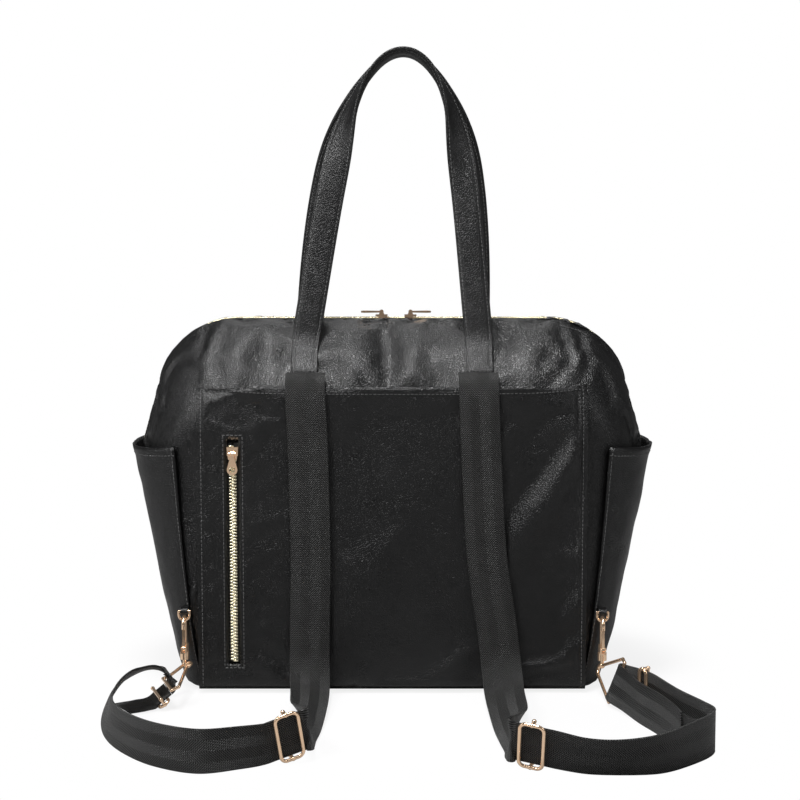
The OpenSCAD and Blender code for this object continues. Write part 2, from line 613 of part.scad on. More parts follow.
// D-ring that hangs from a leather tab, its lower wire inside the hook's bow
ring_wire = 1;
ring_r = 4.3;
ring_low = bow_z + bow_r - bow_wire - ring_wire - 0.2;
ring_bar = ring_low + ring_r + 3;
module ring() {
    translate([-ring_r, 0, ring_bar]) rotate([0, 90, 0]) cylinder(r = ring_wire, h = 2 * ring_r);
    for (s = [-1, 1]) {
        translate([s * ring_r, 0, ring_bar]) sphere(ring_wire);
        translate([s * ring_r, 0, ring_bar - 3]) cylinder(r = ring_wire, h = 3);
    }
    translate([0, 0, ring_bar - 3]) rotate([-90, 0, 0]) rotate_extrude(angle = 180, $fn = 48)
        translate([ring_r, 0]) circle(ring_wire, $fn = 24);
}
loop_w = 2 * (ring_r - ring_wire) - 0.4;        // the leather loop fits inside the ring
module ring_tab(depth_back) {
    difference() {
        union() {
            translate([-loop_w / 2, 0, ring_bar]) rotate([0, 90, 0]) cylinder(r = 2.7, h = loop_w);
            translate([-loop_w / 2, 0, ring_bar - 2.7]) cube([loop_w, depth_back, 5.4]);
        }
        translate([-6, 0, ring_bar]) rotate([0, 90, 0]) cylinder(r = ring_wire + 0.08, h = 12);
    }
}
module ring_left() { color(gold) translate(hook_at_l) ring(); }
module ring_right() { color(gold) translate(hook_at_r) ring(); }
module ring_tab_left() { color(leather) translate(hook_at_l) ring_tab(6.4); }
module ring_tab_right() { color(leather) translate(hook_at_r) ring_tab(7); }

back_panel();
front_panel();
side_gussets();
base_panel();
base_board();
lining();
inner_pockets();
top_zip_tape();
top_zip_chain();
top_slider_left();
top_slider_right();
top_pull_left();
top_pull_right();
back_pocket_panel();
back_pocket_divider();
back_zip_tape();
back_zip_chain();
back_zip_slider();
back_zip_pull();
back_zip_pouch();
front_pocket_panel();
front_zip_tape();
front_zip_chain();
front_zip_slider();
front_zip_pull();
front_zip_pouch();
side_pocket_left();
side_pocket_right();
handle_back();
handle_front();
handle_tabs_back();
handle_tabs_front();
webbing_left();
webbing_right();
adjuster_left();
adjuster_right();
keeper_left();
keeper_right();
hook_eye_left();
hook_eye_right();
hook_body_left();
hook_body_right();
hook_gate_left();
hook_gate_right();
gate_pin_left();
gate_pin_right();
ring_left();
ring_right();
ring_tab_left();
ring_tab_right();
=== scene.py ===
import math
import bpy
from mathutils import Matrix, Vector, noise


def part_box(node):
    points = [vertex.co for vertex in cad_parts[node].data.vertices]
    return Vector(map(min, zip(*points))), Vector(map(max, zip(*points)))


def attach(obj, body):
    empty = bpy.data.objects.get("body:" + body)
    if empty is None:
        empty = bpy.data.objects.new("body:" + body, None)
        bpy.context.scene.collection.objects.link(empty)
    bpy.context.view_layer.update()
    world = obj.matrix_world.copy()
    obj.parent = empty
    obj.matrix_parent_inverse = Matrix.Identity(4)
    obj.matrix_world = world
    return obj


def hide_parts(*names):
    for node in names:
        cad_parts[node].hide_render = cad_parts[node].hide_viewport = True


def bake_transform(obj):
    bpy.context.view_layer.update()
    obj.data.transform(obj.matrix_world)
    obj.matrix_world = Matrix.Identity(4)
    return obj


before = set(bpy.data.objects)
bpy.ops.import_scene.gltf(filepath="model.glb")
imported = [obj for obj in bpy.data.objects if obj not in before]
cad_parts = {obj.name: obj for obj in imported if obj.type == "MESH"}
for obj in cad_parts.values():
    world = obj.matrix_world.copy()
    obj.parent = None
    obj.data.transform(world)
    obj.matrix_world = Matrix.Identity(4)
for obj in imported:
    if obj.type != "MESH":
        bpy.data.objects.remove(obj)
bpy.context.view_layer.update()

# ---- Sizes, in millimetres; the CAD parts in model.glb give the outer ones ---
MM = 0.001


def node_box(node):
    low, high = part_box(node)
    return low / MM, high / MM


def centre(node):
    low, high = node_box(node)
    return (low + high) / 2


BAG_H = node_box("back_panel")[1].z + 0.4
BASE_W = node_box("base_panel")[1].x
TOP_HALF = 127.0
CORNER_R = 68.0
CORNER_TURN = math.radians(74)
HALF_D = 70.0
RIDGE = 6.0
SIDE_H = 196.0
LEATHER = 1.5
POCKET_W = node_box("back_pocket_panel")[1].x
POCKET_H = node_box("back_pocket_panel")[1].z
SIDE_POCKET_H = node_box("side_pocket_left")[1].z
HANDLE_W = 23.0
HANDLE_TOP = 514.0
HINGE_Z = 279.0
HINGE_Y = 39.0
LEG_X = 70.5
WEB_W = 32.0
WEB_T = 1.4
PITCH = 2.54
TURN_X = TOP_HALF + CORNER_R * math.sin(CORNER_TURN)
TURN_Z = BAG_H - CORNER_R + CORNER_R * math.cos(CORNER_TURN)
TAIL = (TURN_Z - SIDE_H) / math.sin(CORNER_TURN)
ARC = CORNER_R * CORNER_TURN
TRACK = TOP_HALF + ARC + TAIL
SIDE_W = TURN_X + TAIL * math.cos(CORNER_TURN)


def clamp(v, low=0.0, high=1.0):
    return min(high, max(low, v))


def smooth(v):
    v = clamp(v)
    return v * v * (3 - 2 * v)


def lerp(a, b, t):
    return a + (b - a) * t


# ---- Materials ----------------------------------------------------------------
class Nodes:
    """Short way to build a node tree: each call adds a node and links its inputs."""

    def __init__(self, name):
        self.material = bpy.data.materials.new(name)
        self.material.use_nodes = True
        self.tree = self.material.node_tree
        self.tree.nodes.clear()

    def add(self, kind, props=None, **inputs):
        node = self.tree.nodes.new("ShaderNode" + kind)
        for key, value in (props or {}).items():
            setattr(node, key, value)
        for key, value in inputs.items():
            numbered = key[0] == "i" and key[1:].isdigit()
            socket = node.inputs[int(key[1:]) if numbered else key.replace("_", " ")]
            if isinstance(value, bpy.types.NodeSocket):
                self.tree.links.new(value, socket)
            else:
                socket.default_value = value
        return node

    def ramp(self, fac, stops):
        node = self.add("ValToRGB", Fac=fac)
        points = node.color_ramp.elements
        while len(points) < len(stops):
            points.new(0.5)
        for point, (place, value) in zip(points, stops):
            point.position = place
            point.color = value if len(value) == 4 else (*value, 1)
        return node.outputs[0]

    def finish(self, shader):
        self.add("OutputMaterial", Surface=shader.outputs[0])
        return self.material


def grey(v):
    return (v, v, v, 1)


def leather_material(name, base, shine, crinkle):
    """Black coated leather: pebble grain, fine pores, a little mottling, and painted shade that darkens the
    grain's grooves.
    """
    m = Nodes(name)
    where = m.add("TexCoord").outputs["Object"]
    warp = m.add("TexNoise", Vector=where, Scale=150.0, Detail=2.0)
    place = m.add("VectorMath", {"operation": "MULTIPLY_ADD"}, i0=warp.outputs["Color"], i2=where)
    place.inputs[1].default_value = (0.0016, 0.0016, 0.0016)
    pebble = m.add("TexVoronoi", {"feature": "DISTANCE_TO_EDGE"}, Vector=place.outputs[0], Scale=620.0)
    fine = m.add("TexNoise", Vector=where, Scale=1900.0, Detail=4.0)
    soft = m.add("TexNoise", Vector=where, Scale=24.0, Detail=4.0, Roughness=0.6)
    crease = m.add("TexNoise", Vector=where, Scale=75.0, Detail=5.0, Roughness=0.65, Distortion=0.6)
    cells = m.ramp(pebble.outputs["Distance"], [(0.0, grey(0.0)), (0.16, grey(0.75)), (0.4, grey(1.0))])
    height = m.add("Math", {"operation": "MULTIPLY_ADD"}, i0=fine.outputs[0], i1=0.5, i2=cells)
    grain = m.add("Bump", Strength=0.62, Distance=0.00028, Height=height.outputs[0])
    lines = m.add("Bump", Strength=crinkle, Distance=0.0016, Height=crease.outputs[0],
                  Normal=grain.outputs[0])
    tone = m.ramp(soft.outputs[0], [(0.3, [c * 0.7 for c in base]), (0.7, [c * 1.3 for c in base])])
    # painted shade: where the pebble cells meet, in the grooves of the grain bump, the colour falls to half
    # the base colour
    groove_shade = m.add("Mix", {"data_type": "RGBA"}, i0=cells, i6=(*[c * 0.5 for c in base], 1), i7=tone)
    rough = m.add("MapRange", i0=soft.outputs[0], i1=0.3, i2=0.7, i3=shine - 0.05, i4=shine + 0.07)
    shader = m.add("BsdfPrincipled", Base_Color=groove_shade.outputs[2], Roughness=rough.outputs[0],
                   Normal=lines.outputs[0])
    shader.inputs["Specular IOR Level"].default_value = 0.5
    return m.finish(shader)


def webbing_material(name, base):
    """Twill webbing: diagonal ribs that turn back in the middle, crossed by fine weft rows; the colour
    follows the weave and carries broad painted sheen patches.
    """
    m = Nodes(name)
    split = m.add("SeparateXYZ", Vector=m.add("UVMap").outputs[0])
    across = m.add("Math", {"operation": "PINGPONG"}, i0=split.outputs[0], i1=WEB_W * MM / 4)
    diagonal = m.add("Math", {"operation": "ADD"}, i0=across.outputs[0], i1=split.outputs[1])
    twill = m.add("Math", {"operation": "SINE"},
                  i0=m.add("Math", {"operation": "MULTIPLY"}, i0=diagonal.outputs[0], i1=3400.0).outputs[0])
    rows = m.add("Math", {"operation": "SINE"},
                 i0=m.add("Math", {"operation": "MULTIPLY"}, i0=split.outputs[1], i1=4200.0).outputs[0])
    weave = m.add("Math", {"operation": "MULTIPLY_ADD"}, i0=rows.outputs[0], i1=0.4, i2=twill.outputs[0])
    where = m.add("TexCoord").outputs["Object"]
    fuzz = m.add("TexNoise", Vector=where, Scale=900.0, Detail=3.0)
    # broad painted sheen: this large noise lightens and darkens the band's colour in patches, through level
    # and tone below
    sheen_cloud = m.add("TexNoise", Vector=where, Scale=55.0, Detail=3.0)
    height = m.add("Math", {"operation": "MULTIPLY_ADD"}, i0=fuzz.outputs[0], i1=0.8, i2=weave.outputs[0])
    bump = m.add("Bump", Strength=0.8, Distance=0.00045, Height=height.outputs[0])
    gloss = m.add("MapRange", i0=weave.outputs[0], i1=-1.2, i2=1.2, i3=0.05, i4=0.7)
    level = m.add("Math", {"operation": "MULTIPLY_ADD"}, i0=sheen_cloud.outputs[0], i1=1.4, i2=weave.outputs[0])
    tone = m.ramp(m.add("MapRange", i0=level.outputs[0], i1=-0.6, i2=2.1).outputs[0],
                  [(0.0, [c * 0.12 for c in base]), (1.0, [c * 1.9 for c in base])])
    shader = m.add("BsdfPrincipled", Base_Color=tone, Roughness=0.42, Normal=bump.outputs[0],
                   Specular_IOR_Level=gloss.outputs[0])
    shader.inputs["Sheen Weight"].default_value = 0.03
    return m.finish(shader)


def cloth_material(name, base, scale=900.0):
    m = Nodes(name)
    where = m.add("TexCoord").outputs["Object"]
    weave = m.add("TexWave", {"wave_type": "BANDS", "bands_direction": "DIAGONAL"},
                  Vector=where, Scale=scale, Distortion=0.6, Detail=2.0)
    noise_node = m.add("TexNoise", Vector=where, Scale=220.0, Detail=5.0)
    height = m.add("Math", {"operation": "ADD"}, i0=weave.outputs["Fac"], i1=noise_node.outputs[0])
    bump = m.add("Bump", Strength=0.4, Distance=0.0003, Height=height.outputs[0])
    tone = m.ramp(noise_node.outputs[0], [(0.3, [c * 0.7 for c in base]), (0.7, [c * 1.3 for c in base])])
    shader = m.add("BsdfPrincipled", Base_Color=tone, Roughness=0.8, Normal=bump.outputs[0])
    return m.finish(shader)


def metal_material(name, base, rough):
    m = Nodes(name)
    where = m.add("TexCoord").outputs["Object"]
    scuff = m.add("TexNoise", Vector=where, Scale=420.0, Detail=6.0, Roughness=0.7)
    bump = m.add("Bump", Strength=0.06, Distance=0.0002, Height=scuff.outputs[0])
    level = m.add("MapRange", i0=scuff.outputs[0], i1=0.3, i2=0.7, i3=rough * 0.7, i4=rough * 1.4)
    tone = m.ramp(scuff.outputs[0], [(0.3, [c * 0.9 for c in base]), (0.65, base)])
    # painted glow: the metal also emits its own colour at strength 0.1, standing in for reflections of bright
    # surroundings
    shader = m.add("BsdfPrincipled", Base_Color=tone, Metallic=1.0, Roughness=level.outputs[0],
                   Normal=bump.outputs[0], Emission_Color=tone)
    shader.inputs["Emission Strength"].default_value = 0.1
    return m.finish(shader)


def board_material():
    m = Nodes("stiffener_board")
    speck = m.add("TexNoise", Vector=m.add("TexCoord").outputs["Object"], Scale=300.0, Detail=4.0)
    tone = m.ramp(speck.outputs[0], [(0.3, (0.03, 0.03, 0.03)), (0.7, (0.07, 0.07, 0.07))])
    return m.finish(m.add("BsdfPrincipled", Base_Color=tone, Roughness=0.7))


LEATHER_MAT = leather_material("black_faux_leather", (0.0035, 0.0035, 0.0038), 0.31, 0.3)
HANDLE_MAT = leather_material("black_handle_leather", (0.006, 0.006, 0.0063), 0.36, 0.1)
WEB_MAT = webbing_material("black_twill_webbing", (0.019, 0.019, 0.0185))
TAPE_MAT = cloth_material("black_zip_tape", (0.009, 0.009, 0.009))
LINING_MAT = cloth_material("grey_lining", (0.16, 0.16, 0.17), 500.0)
THREAD_MAT = cloth_material("grey_black_thread", (0.11, 0.11, 0.11), 2500.0)
GOLD_MAT = metal_material("rose_gold", (0.93, 0.66, 0.45), 0.13)
TEETH_MAT = metal_material("pale_gold", (0.92, 0.85, 0.62), 0.22)
BOARD_MAT = board_material()


# ---- Mesh tools, all in millimetres ----------------------------------------------
def make_object(name, points, faces, material, uvs=None):
    mesh = bpy.data.meshes.new(name)
    mesh.from_pydata([Vector(p) * MM for p in points], [], faces)
    mesh.materials.append(material)
    if uvs:
        layer = mesh.uv_layers.new(name="UVMap")
        for loop in mesh.loops:
            layer.data[loop.index].uv = uvs[loop.vertex_index]
    mesh.validate()
    mesh.shade_smooth()
    piece = bpy.data.objects.new(name, mesh)
    bpy.context.scene.collection.objects.link(piece)
    return piece


def grid_faces(n, m, base=0, flip=False):
    faces = []
    for i in range(n - 1):
        for j in range(m - 1):
            a = base + i * m + j
            quad = (a, a + 1, a + m + 1, a + m)
            faces.append(quad[::-1] if flip else quad)
    return faces


def tube_faces(rings, count):
    """Faces of a closed skin over rings of count points each, with flat ends."""
    faces = []
    for i in range(rings - 1):
        for k in range(count):
            a, b = i * count + k, i * count + (k + 1) % count
            faces.append((a, b, b + count, a + count))
    last = (rings - 1) * count
    return faces + [tuple(range(count))[::-1], tuple(last + k for k in range(count))]


def grid_normals(grid):
    n, m = len(grid), len(grid[0])
    out = []
    for i in range(n):
        row = []
        for j in range(m):
            a = grid[min(n - 1, i + 1)][j] - grid[max(0, i - 1)][j]
            b = grid[i][min(m - 1, j + 1)] - grid[i][max(0, j - 1)]
            c = a.cross(b)
            row.append(c.normalized() if c.length > 1e-9 else Vector((0, -1, 0)))
        out.append(row)
    return out


def sheet(name, grid, thick, material=None, skip=None, flip=False):
    """Soft sheet: grid is its outer face, the inner face lies thick behind, and the rim is rounded."""
    n, m = len(grid), len(grid[0])
    sign = -1 if flip else 1
    normals = grid_normals(grid)
    points = [p for row in grid for p in row]
    points += [grid[i][j] - sign * thick * normals[i][j] for i in range(n) for j in range(m)]
    size = n * m
    outer = grid_faces(n, m, 0, flip)
    inner = grid_faces(n, m, size, not flip)
    keep = [f for f in range(len(outer)) if not skip or not skip(divmod(f, m - 1))]
    faces = [outer[f] for f in keep] + [inner[f] for f in keep]
    edges = {}
    for f in keep:
        quad = outer[f]
        for a, b in zip(quad, quad[1:] + quad[:1]):
            edges[(a, b)] = True
    rim = [(a, b) for (a, b) in edges if (b, a) not in edges]
    outward = {}
    for a, b in rim:
        ia, ja = divmod(a, m)
        along = points[b] - points[a]
        side = along.cross(sign * normals[ia][ja])
        for k in (a, b):
            outward[k] = outward.get(k, Vector()) + side
    middle = {}
    for k, side in outward.items():
        middle[k] = len(points)
        points.append((points[k] + points[k + size]) / 2 + side.normalized() * thick * 0.42)
    for a, b in rim:
        faces.append((b, a, middle[a], middle[b]))
        faces.append((middle[b], middle[a], a + size, b + size))
    return make_object(name, points, faces, material or LEATHER_MAT)


def join(name, pieces):
    bpy.ops.object.select_all(action="DESELECT")
    for piece in pieces:
        piece.select_set(True)
    bpy.context.view_layer.objects.active = pieces[0]
    bpy.ops.object.join()
    pieces[0].name = name
    return pieces[0]


def on_bag(piece, *nodes):
    """Fixes a piece to the bag's body, in place of the CAD nodes named."""
    if nodes:
        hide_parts(*nodes)
    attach(piece, "bag")


class Parts:
    """Collects many small equal solids into one mesh."""

    def __init__(self):
        self.points = []
        self.faces = []

    def add(self, points, faces):
        base = len(self.points)
        self.points += points
        self.faces += [tuple(base + k for k in f) for f in faces]

    def build(self, name, material):
        return make_object(name, self.points, self.faces, material)


def stitch_shape(centre_at, along, up, length, radius):
    """One stitch: a low capsule that lies along the seam."""
    side = along.cross(up).normalized()
    rings = ((-0.5, 0.35), (-0.36, 0.9), (0.0, 1.0), (0.36, 0.9), (0.5, 0.35))
    count = 6
    points = [centre_at + along * length * t + (side * math.cos(a) + up * math.sin(a) * 0.8) * radius * r
              for t, r in rings for a in [2 * math.pi * k / count for k in range(count)]]
    return points, tube_faces(len(rings), count)


def walk(points, ups, step):
    """Places at equal steps along a polyline: (point, direction, up)."""
    out = []
    left = step / 2
    for a, b, u, v in zip(points, points[1:], ups, ups[1:]):
        length = (b - a).length
        while left <= length and length > 0:
            t = left / length
            out.append((a.lerp(b, t), (b - a).normalized(), u.lerp(v, t).normalized()))
            left += step
        left -= length
    return out


def stitch(parts, points, ups, step=3.3, length=2.5, radius=0.34, sink=0.08):
    for place, along, up in walk(points, ups, step):
        parts.add(*stitch_shape(place - up * sink, along, up, length, radius))


# ---- Shape of the body -----------------------------------------------------------
def track(s):
    """Point (x, z) at distance s along the top zip, and the outward direction there."""
    g = -1 if s < 0 else 1
    q = abs(s)
    if q < TOP_HALF:
        return s, BAG_H, 0.0, 1.0
    if q < TOP_HALF + ARC:
        a = (q - TOP_HALF) / CORNER_R
        return (g * (TOP_HALF + CORNER_R * math.sin(a)), BAG_H - CORNER_R + CORNER_R * math.cos(a),
                g * math.sin(a), math.cos(a))
    r = q - TOP_HALF - ARC
    return (g * (TURN_X + r * math.cos(CORNER_TURN)), TURN_Z - r * math.sin(CORNER_TURN),
            g * math.sin(CORNER_TURN), math.cos(CORNER_TURN))


def roof(x):
    q = abs(x)
    if q < TOP_HALF:
        return BAG_H
    if q < TURN_X:
        return BAG_H - CORNER_R + math.sqrt(max(0, CORNER_R ** 2 - (q - TOP_HALF) ** 2))
    return TURN_Z - (q - TURN_X) * math.tan(CORNER_TURN)


def side_w(z):
    return BASE_W + (SIDE_W - BASE_W) * clamp(z / SIDE_H) ** 0.75


def edge_d(z):
    return RIDGE + 46 * max(0.0, 1 - z / SIDE_H)


def depth(z):
    return HALF_D - 5 * max(0.0, 1 - z / 60) ** 2


def corner_x(z):
    return 18 + 30 * clamp(z / SIDE_H)


def half_y(x, z):
    up = clamp((roof(x) - z) / 80)
    inward = clamp((side_w(z) - abs(x)) / corner_x(z))
    f = math.sin(math.pi / 2 * up) ** 0.8 * math.sqrt(max(0.0, 1 - (1 - inward) ** 2))
    return edge_d(z) + (depth(z) - edge_d(z)) * f


def base_round(z, r=7.0):
    """How far a wall pulls in where it rolls under the base."""
    q = clamp(1 - z / r)
    return r * (1 - math.sqrt(max(0.0, 1 - q * q)))


def fold(x, z, at, angle, length, width):
    """Soft ridge of height 1 along a line through at."""
    dx, dz = x - at[0], z - at[1]
    c, s = math.cos(math.radians(angle)), math.sin(math.radians(angle))
    along, across = dx * c + dz * s, dz * c - dx * s
    return math.exp(-(along / length) ** 2 - (across / width) ** 2)


def waves(x, z, sx, sz, seed):
    return noise.noise(Vector((x / sx, z / sz, seed)))


DRAPE_FRAMES = 20
MAX_SINK = 1.0


def drape(grid, held, limit, swell, pressure, flip):
    """Grid of a sheet after a short cloth run.

    held(i, j) is 1 where the sheet is sewn down and limit(i, j) is how far it may move. The cloth
    is cut swell larger than the place it fills, so it puffs out and wrinkles.
    """
    n, m = len(grid), len(grid[0])
    mesh = bpy.data.meshes.new("draped_cloth")
    mesh.from_pydata([p * MM for row in grid for p in row], [], grid_faces(n, m, 0, flip))
    cloth_piece = bpy.data.objects.new("draped_cloth", mesh)
    bpy.context.scene.collection.objects.link(cloth_piece)
    pins = cloth_piece.vertex_groups.new(name="sewn")
    for i in range(n):
        for j in range(m):
            weight = held(i, j)
            if weight > 0:
                pins.add([i * m + j], weight, "REPLACE")
    cloth = cloth_piece.modifiers.new("cloth", "CLOTH")
    settings = cloth.settings
    settings.vertex_group_mass = "sewn"
    settings.quality = 7
    settings.mass = 0.3
    settings.tension_stiffness = settings.compression_stiffness = 25
    settings.bending_stiffness = 2.0
    settings.shrink_min = -swell
    settings.use_pressure = True
    settings.uniform_pressure_force = pressure
    settings.effector_weights.gravity = 0.0
    for step in range(1, DRAPE_FRAMES + 1):
        bpy.context.scene.frame_set(step)
    shape = cloth_piece.evaluated_get(bpy.context.evaluated_depsgraph_get()).data
    moved = [v.co / MM for v in shape.vertices]
    bpy.data.objects.remove(cloth_piece)
    bpy.context.scene.frame_set(1)
    out = []
    normals = grid_normals(grid)
    for i in range(n):
        row = []
        for j in range(m):
            push = moved[i * m + j] - grid[i][j]
            most = limit(i, j)
            outward = normals[i][j] * (-1 if flip else 1)
            sunk = push.dot(outward) + MAX_SINK
            if sunk < 0:
                push -= outward * sunk
            far = push.length
            share = most * math.tanh(far / most) / far if far > 1e-6 and most > 0 else 0
            row.append(grid[i][j] + push * share)
        out.append(row)
    return out


# ---- Body shells ---------------------------------------------------------------
BACK_FOLDS = (
    # at (x, z), angle, length, width, height
    ((-146, 281), 78, 15, 3.0, 5.2), ((-152, 279), 80, 14, 3.2, -3.4), ((-138, 276), 70, 14, 4.0, -2.0),
    ((147, 279), 100, 15, 3.0, 5.0), ((154, 276), 104, 14, 3.2, -3.4), ((140, 276), 108, 14, 3.4, -2.2),
    ((146, 262), 50, 20, 3.4, 3.0), ((138, 258), 46, 18, 3.2, -2.6), ((130, 264), 40, 16, 4.0, 2.0),
    ((156, 256), 60, 15, 3.4, -2.0), ((-124, 262), 78, 24, 11, 3.4), ((-98, 266), 88, 26, 9, -2.8),
    ((-32, 266), 84, 26, 16, 4.6), ((-4, 266), 92, 30, 6.5, -5.4), ((17, 268), 86, 24, 9, 3.0),
    ((40, 268), 92, 26, 10, -3.4), ((88, 270), 88, 22, 9, -3.4), ((110, 260), 70, 22, 10, 3.6),
    ((-188, 236), 62, 26, 6, 2.4), ((-178, 222), 66, 24, 6, -2.0), ((190, 232), 118, 28, 6, 2.6),
    ((180, 226), 112, 24, 6, -2.2),
)


# The lining hangs 6.5 mm inside the shell, so a valley stays shallower than that
DEEPEST = 4.0


def shell_relief(x, z, seed):
    """Creases and soft waves of the unlined upper leather, as a push outwards."""
    fade = smooth((roof(x) - z) / 14) * smooth(z / 30)
    push = sum(f[4] * fold(x, z, *f[:4]) for f in BACK_FOLDS)
    push += 1.8 * waves(x, z, 40, 60, seed) + 0.7 * waves(x, z, 17, 34, seed + 9)
    if push < 0:
        push = DEEPEST * math.tanh(push / DEEPEST)
    return push * fade


def skin(u, t, seed=1.0):
    """Point of the back shell; u runs along the zip, t from the base to the zip."""
    tx, tz, _, _ = track(u * (TRACK - 1))
    z = 0.6 + t * (tz - 1.2)
    x = (BASE_W - 1) * u + (tx - (BASE_W - 1) * u) * t ** 0.75
    roll = base_round(z)
    y = -half_y(x, z) - shell_relief(x, z, seed)
    shrink = 1 - roll / BASE_W
    return Vector((x * shrink, y + roll, z))


def front(piece_points):
    """Mirrors points of the back half to the front half."""
    return [Vector((p.x, -p.y, p.z)) for p in piece_points]


def shell(name, seed, mirrored):
    cols, rows = 150, 84
    grid = []
    for i in range(cols + 1):
        u = math.sin(math.pi * (i / cols - 0.5))
        column = [skin(u, math.sin(math.pi / 2 * j / rows) ** 1.15, seed) for j in range(rows + 1)]
        grid.append(front(column) if mirrored else column)

    def held(i, j):
        p = grid[i][j]
        edge = i in (0, 1, cols - 1, cols) or j >= rows - 2
        return 1.0 if edge or p.z < 225 and abs(p.x) < 158 or p.z < 30 else 0.0

    def limit(i, j):
        p = grid[i][j]
        return 6.0 if p.z > POCKET_H - 2 or abs(p.x) > POCKET_W else 1.5

    grid = drape(grid, held, limit, 0.035, 1.5, mirrored)
    return sheet(name, grid, LEATHER, flip=mirrored)


def hem_stitches(parts, mirrored, seed):
    """Stitch line along the top edge of a shell, a few millimetres under the zip."""
    points, ups = [], []
    steps = 420
    for k in range(steps + 1):
        u = (2 * k / steps - 1) * 0.985
        t = 1 - 4.2 / (track(u * TRACK)[1] - 2)
        p = skin(u, t, seed)
        n = (skin(u + 0.002, t, seed) - skin(u - 0.002, t, seed)).cross(
            skin(u, t + 0.0013, seed) - skin(u, t - 0.0013, seed)).normalized()
        if n.y > 0:
            n = -n
        points.append(p)
        ups.append(n)
    if mirrored:
        points, ups = front(points), front(ups)
    stitch(parts, points, ups, sink=0.0)


def body_shells():
    for side, mirrored, seed in (("back", False, 1.0), ("front", True, 5.0)):
        shell_piece = shell(side + "_shell", seed, mirrored)
        on_bag(shell_piece, side + "_panel")
        parts = Parts()
        hem_stitches(parts, mirrored, seed)
        on_bag(parts.build(side + "_shell_stitching", THREAD_MAT))


def gussets():
    pieces = []
    for s in (-1, 1):
        rows, cols = 40, 10
        grid = []
        for i in range(cols + 1):
            a = 2 * i / cols - 1
            column = []
            for j in range(rows + 1):
                z = 0.8 + (SIDE_H - 3) * j / rows
                bow = 0.6 * waves(a * 20, z, 12, 40, 3.0 + s)
                x = s * (side_w(z) + bow) * (1 - base_round(z) / BASE_W)
                column.append(Vector((x, a * (edge_d(z) - 0.3), z)))
            grid.append(column)
        pieces.append(sheet("gusset", grid, LEATHER, flip=s < 0))
    on_bag(join("side_gussets_leather", pieces), "side_gussets")


def rounded_outline(w, d, r, count=10):
    out = []
    for q, (sx, sy) in enumerate(((1, 1), (-1, 1), (-1, -1), (1, -1))):
        for k in range(count + 1):
            a = math.pi / 2 * (q + k / count)
            out.append((sx * (w - r) + r * math.cos(a), sy * (d - r) + r * math.sin(a)))
    return out


def base():
    """Leather base: a shallow pan whose rim rolls up to the walls."""
    high = node_box("base_panel")[1]
    rings = [(0.0, 7.5), (0.35, 3.6), (1.2, 1.4), (2.6, 0.2)]
    points = []
    for z, inset in rings:
        points += [Vector((x, y, z)) for x, y in
                   rounded_outline(high.x - inset, high.y - inset, 16 - inset * 0.5)]
    count = len(points) // len(rings)
    points += [p + Vector((0, 0, 1.2)) for p in points[:count]]
    faces = tube_faces(len(rings) + 1, count)
    on_bag(make_object("base_leather", points, faces, LEATHER_MAT), "base_panel")


# ---- Zips ------------------------------------------------------------------------
def tooth(parts, place, along, across, up, side):
    """One bevelled tooth that reaches from its own tape over the chain's middle."""
    thick, width, long, bevel = 2.3, 3.9, 1.45, 0.3
    middle = place + across * side * (3.0 - width / 2)
    rings = []
    for h, inset in ((-0.5, bevel), (-0.34, 0.0), (0.34, 0.0), (0.5, bevel)):
        a, b = long / 2 - inset, width / 2 - inset
        nose = b - 0.25
        rings.append([middle + up * thick * h + along * x + across * y
                      for x, y in ((-a, -nose), (-a + 0.3, -b), (a - 0.3, -b), (a, -nose),
                                   (a, nose), (a - 0.3, b), (-a + 0.3, b), (-a, nose))])
    parts.add([p for ring in rings for p in ring], tube_faces(len(rings), len(rings[0])))


def chain(name, points, ups, node):
    parts = Parts()
    for k, (place, along, up) in enumerate(walk(points, ups, PITCH / 2)):
        across = up.cross(along).normalized()
        tooth(parts, place, along, across, up, 1 if k % 2 else -1)
    on_bag(parts.build(name, TEETH_MAT), node)


def top_zip():
    drop = 0.75
    points, ups = [], []
    steps = 400
    for k in range(steps + 1):
        s = (2 * k / steps - 1) * (TRACK - 2)
        x, z, nx, nz = track(s)
        points.append(Vector((x - nx * drop, 0, z - nz * drop)))
        ups.append(Vector((nx, 0, nz)))
    chain("top_zip_teeth", points, ups, "top_zip_chain")
    grid = [[p - u * 1.55 + Vector((0, w, 0)) - u * 0.10 * abs(w) for p, u in zip(points, ups)]
            for w in (-8.5, -6, -3.2, -0.6)]
    halves = [sheet("tape", grid, 0.6, TAPE_MAT),
              sheet("tape", [front(column) for column in grid], 0.6, TAPE_MAT, flip=True)]
    on_bag(join("top_zip_tape_cloth", halves), "top_zip_tape")


def flat_zip(node, tape_node, a, b, up, name):
    """Straight zip from a to b: teeth and the two halves of the tape."""
    steps = 60
    points = [a.lerp(b, k / steps) for k in range(steps + 1)]
    chain(name + "_teeth", points, [up] * (steps + 1), node)
    across = up.cross((b - a).normalized())
    long = (b - a).normalized() * 2
    halves = []
    for s in (-1, 1):
        grid = [[p - up * 1.45 + across * s * w + (long * (2 * k / steps - 1)) for k, p in enumerate(points)]
                for w in (0.6, 3.4, 7.0, 10.6)]
        halves.append(sheet("tape", grid, 0.5, TAPE_MAT, flip=s > 0))
    on_bag(join(name + "_tape_cloth", halves), tape_node)


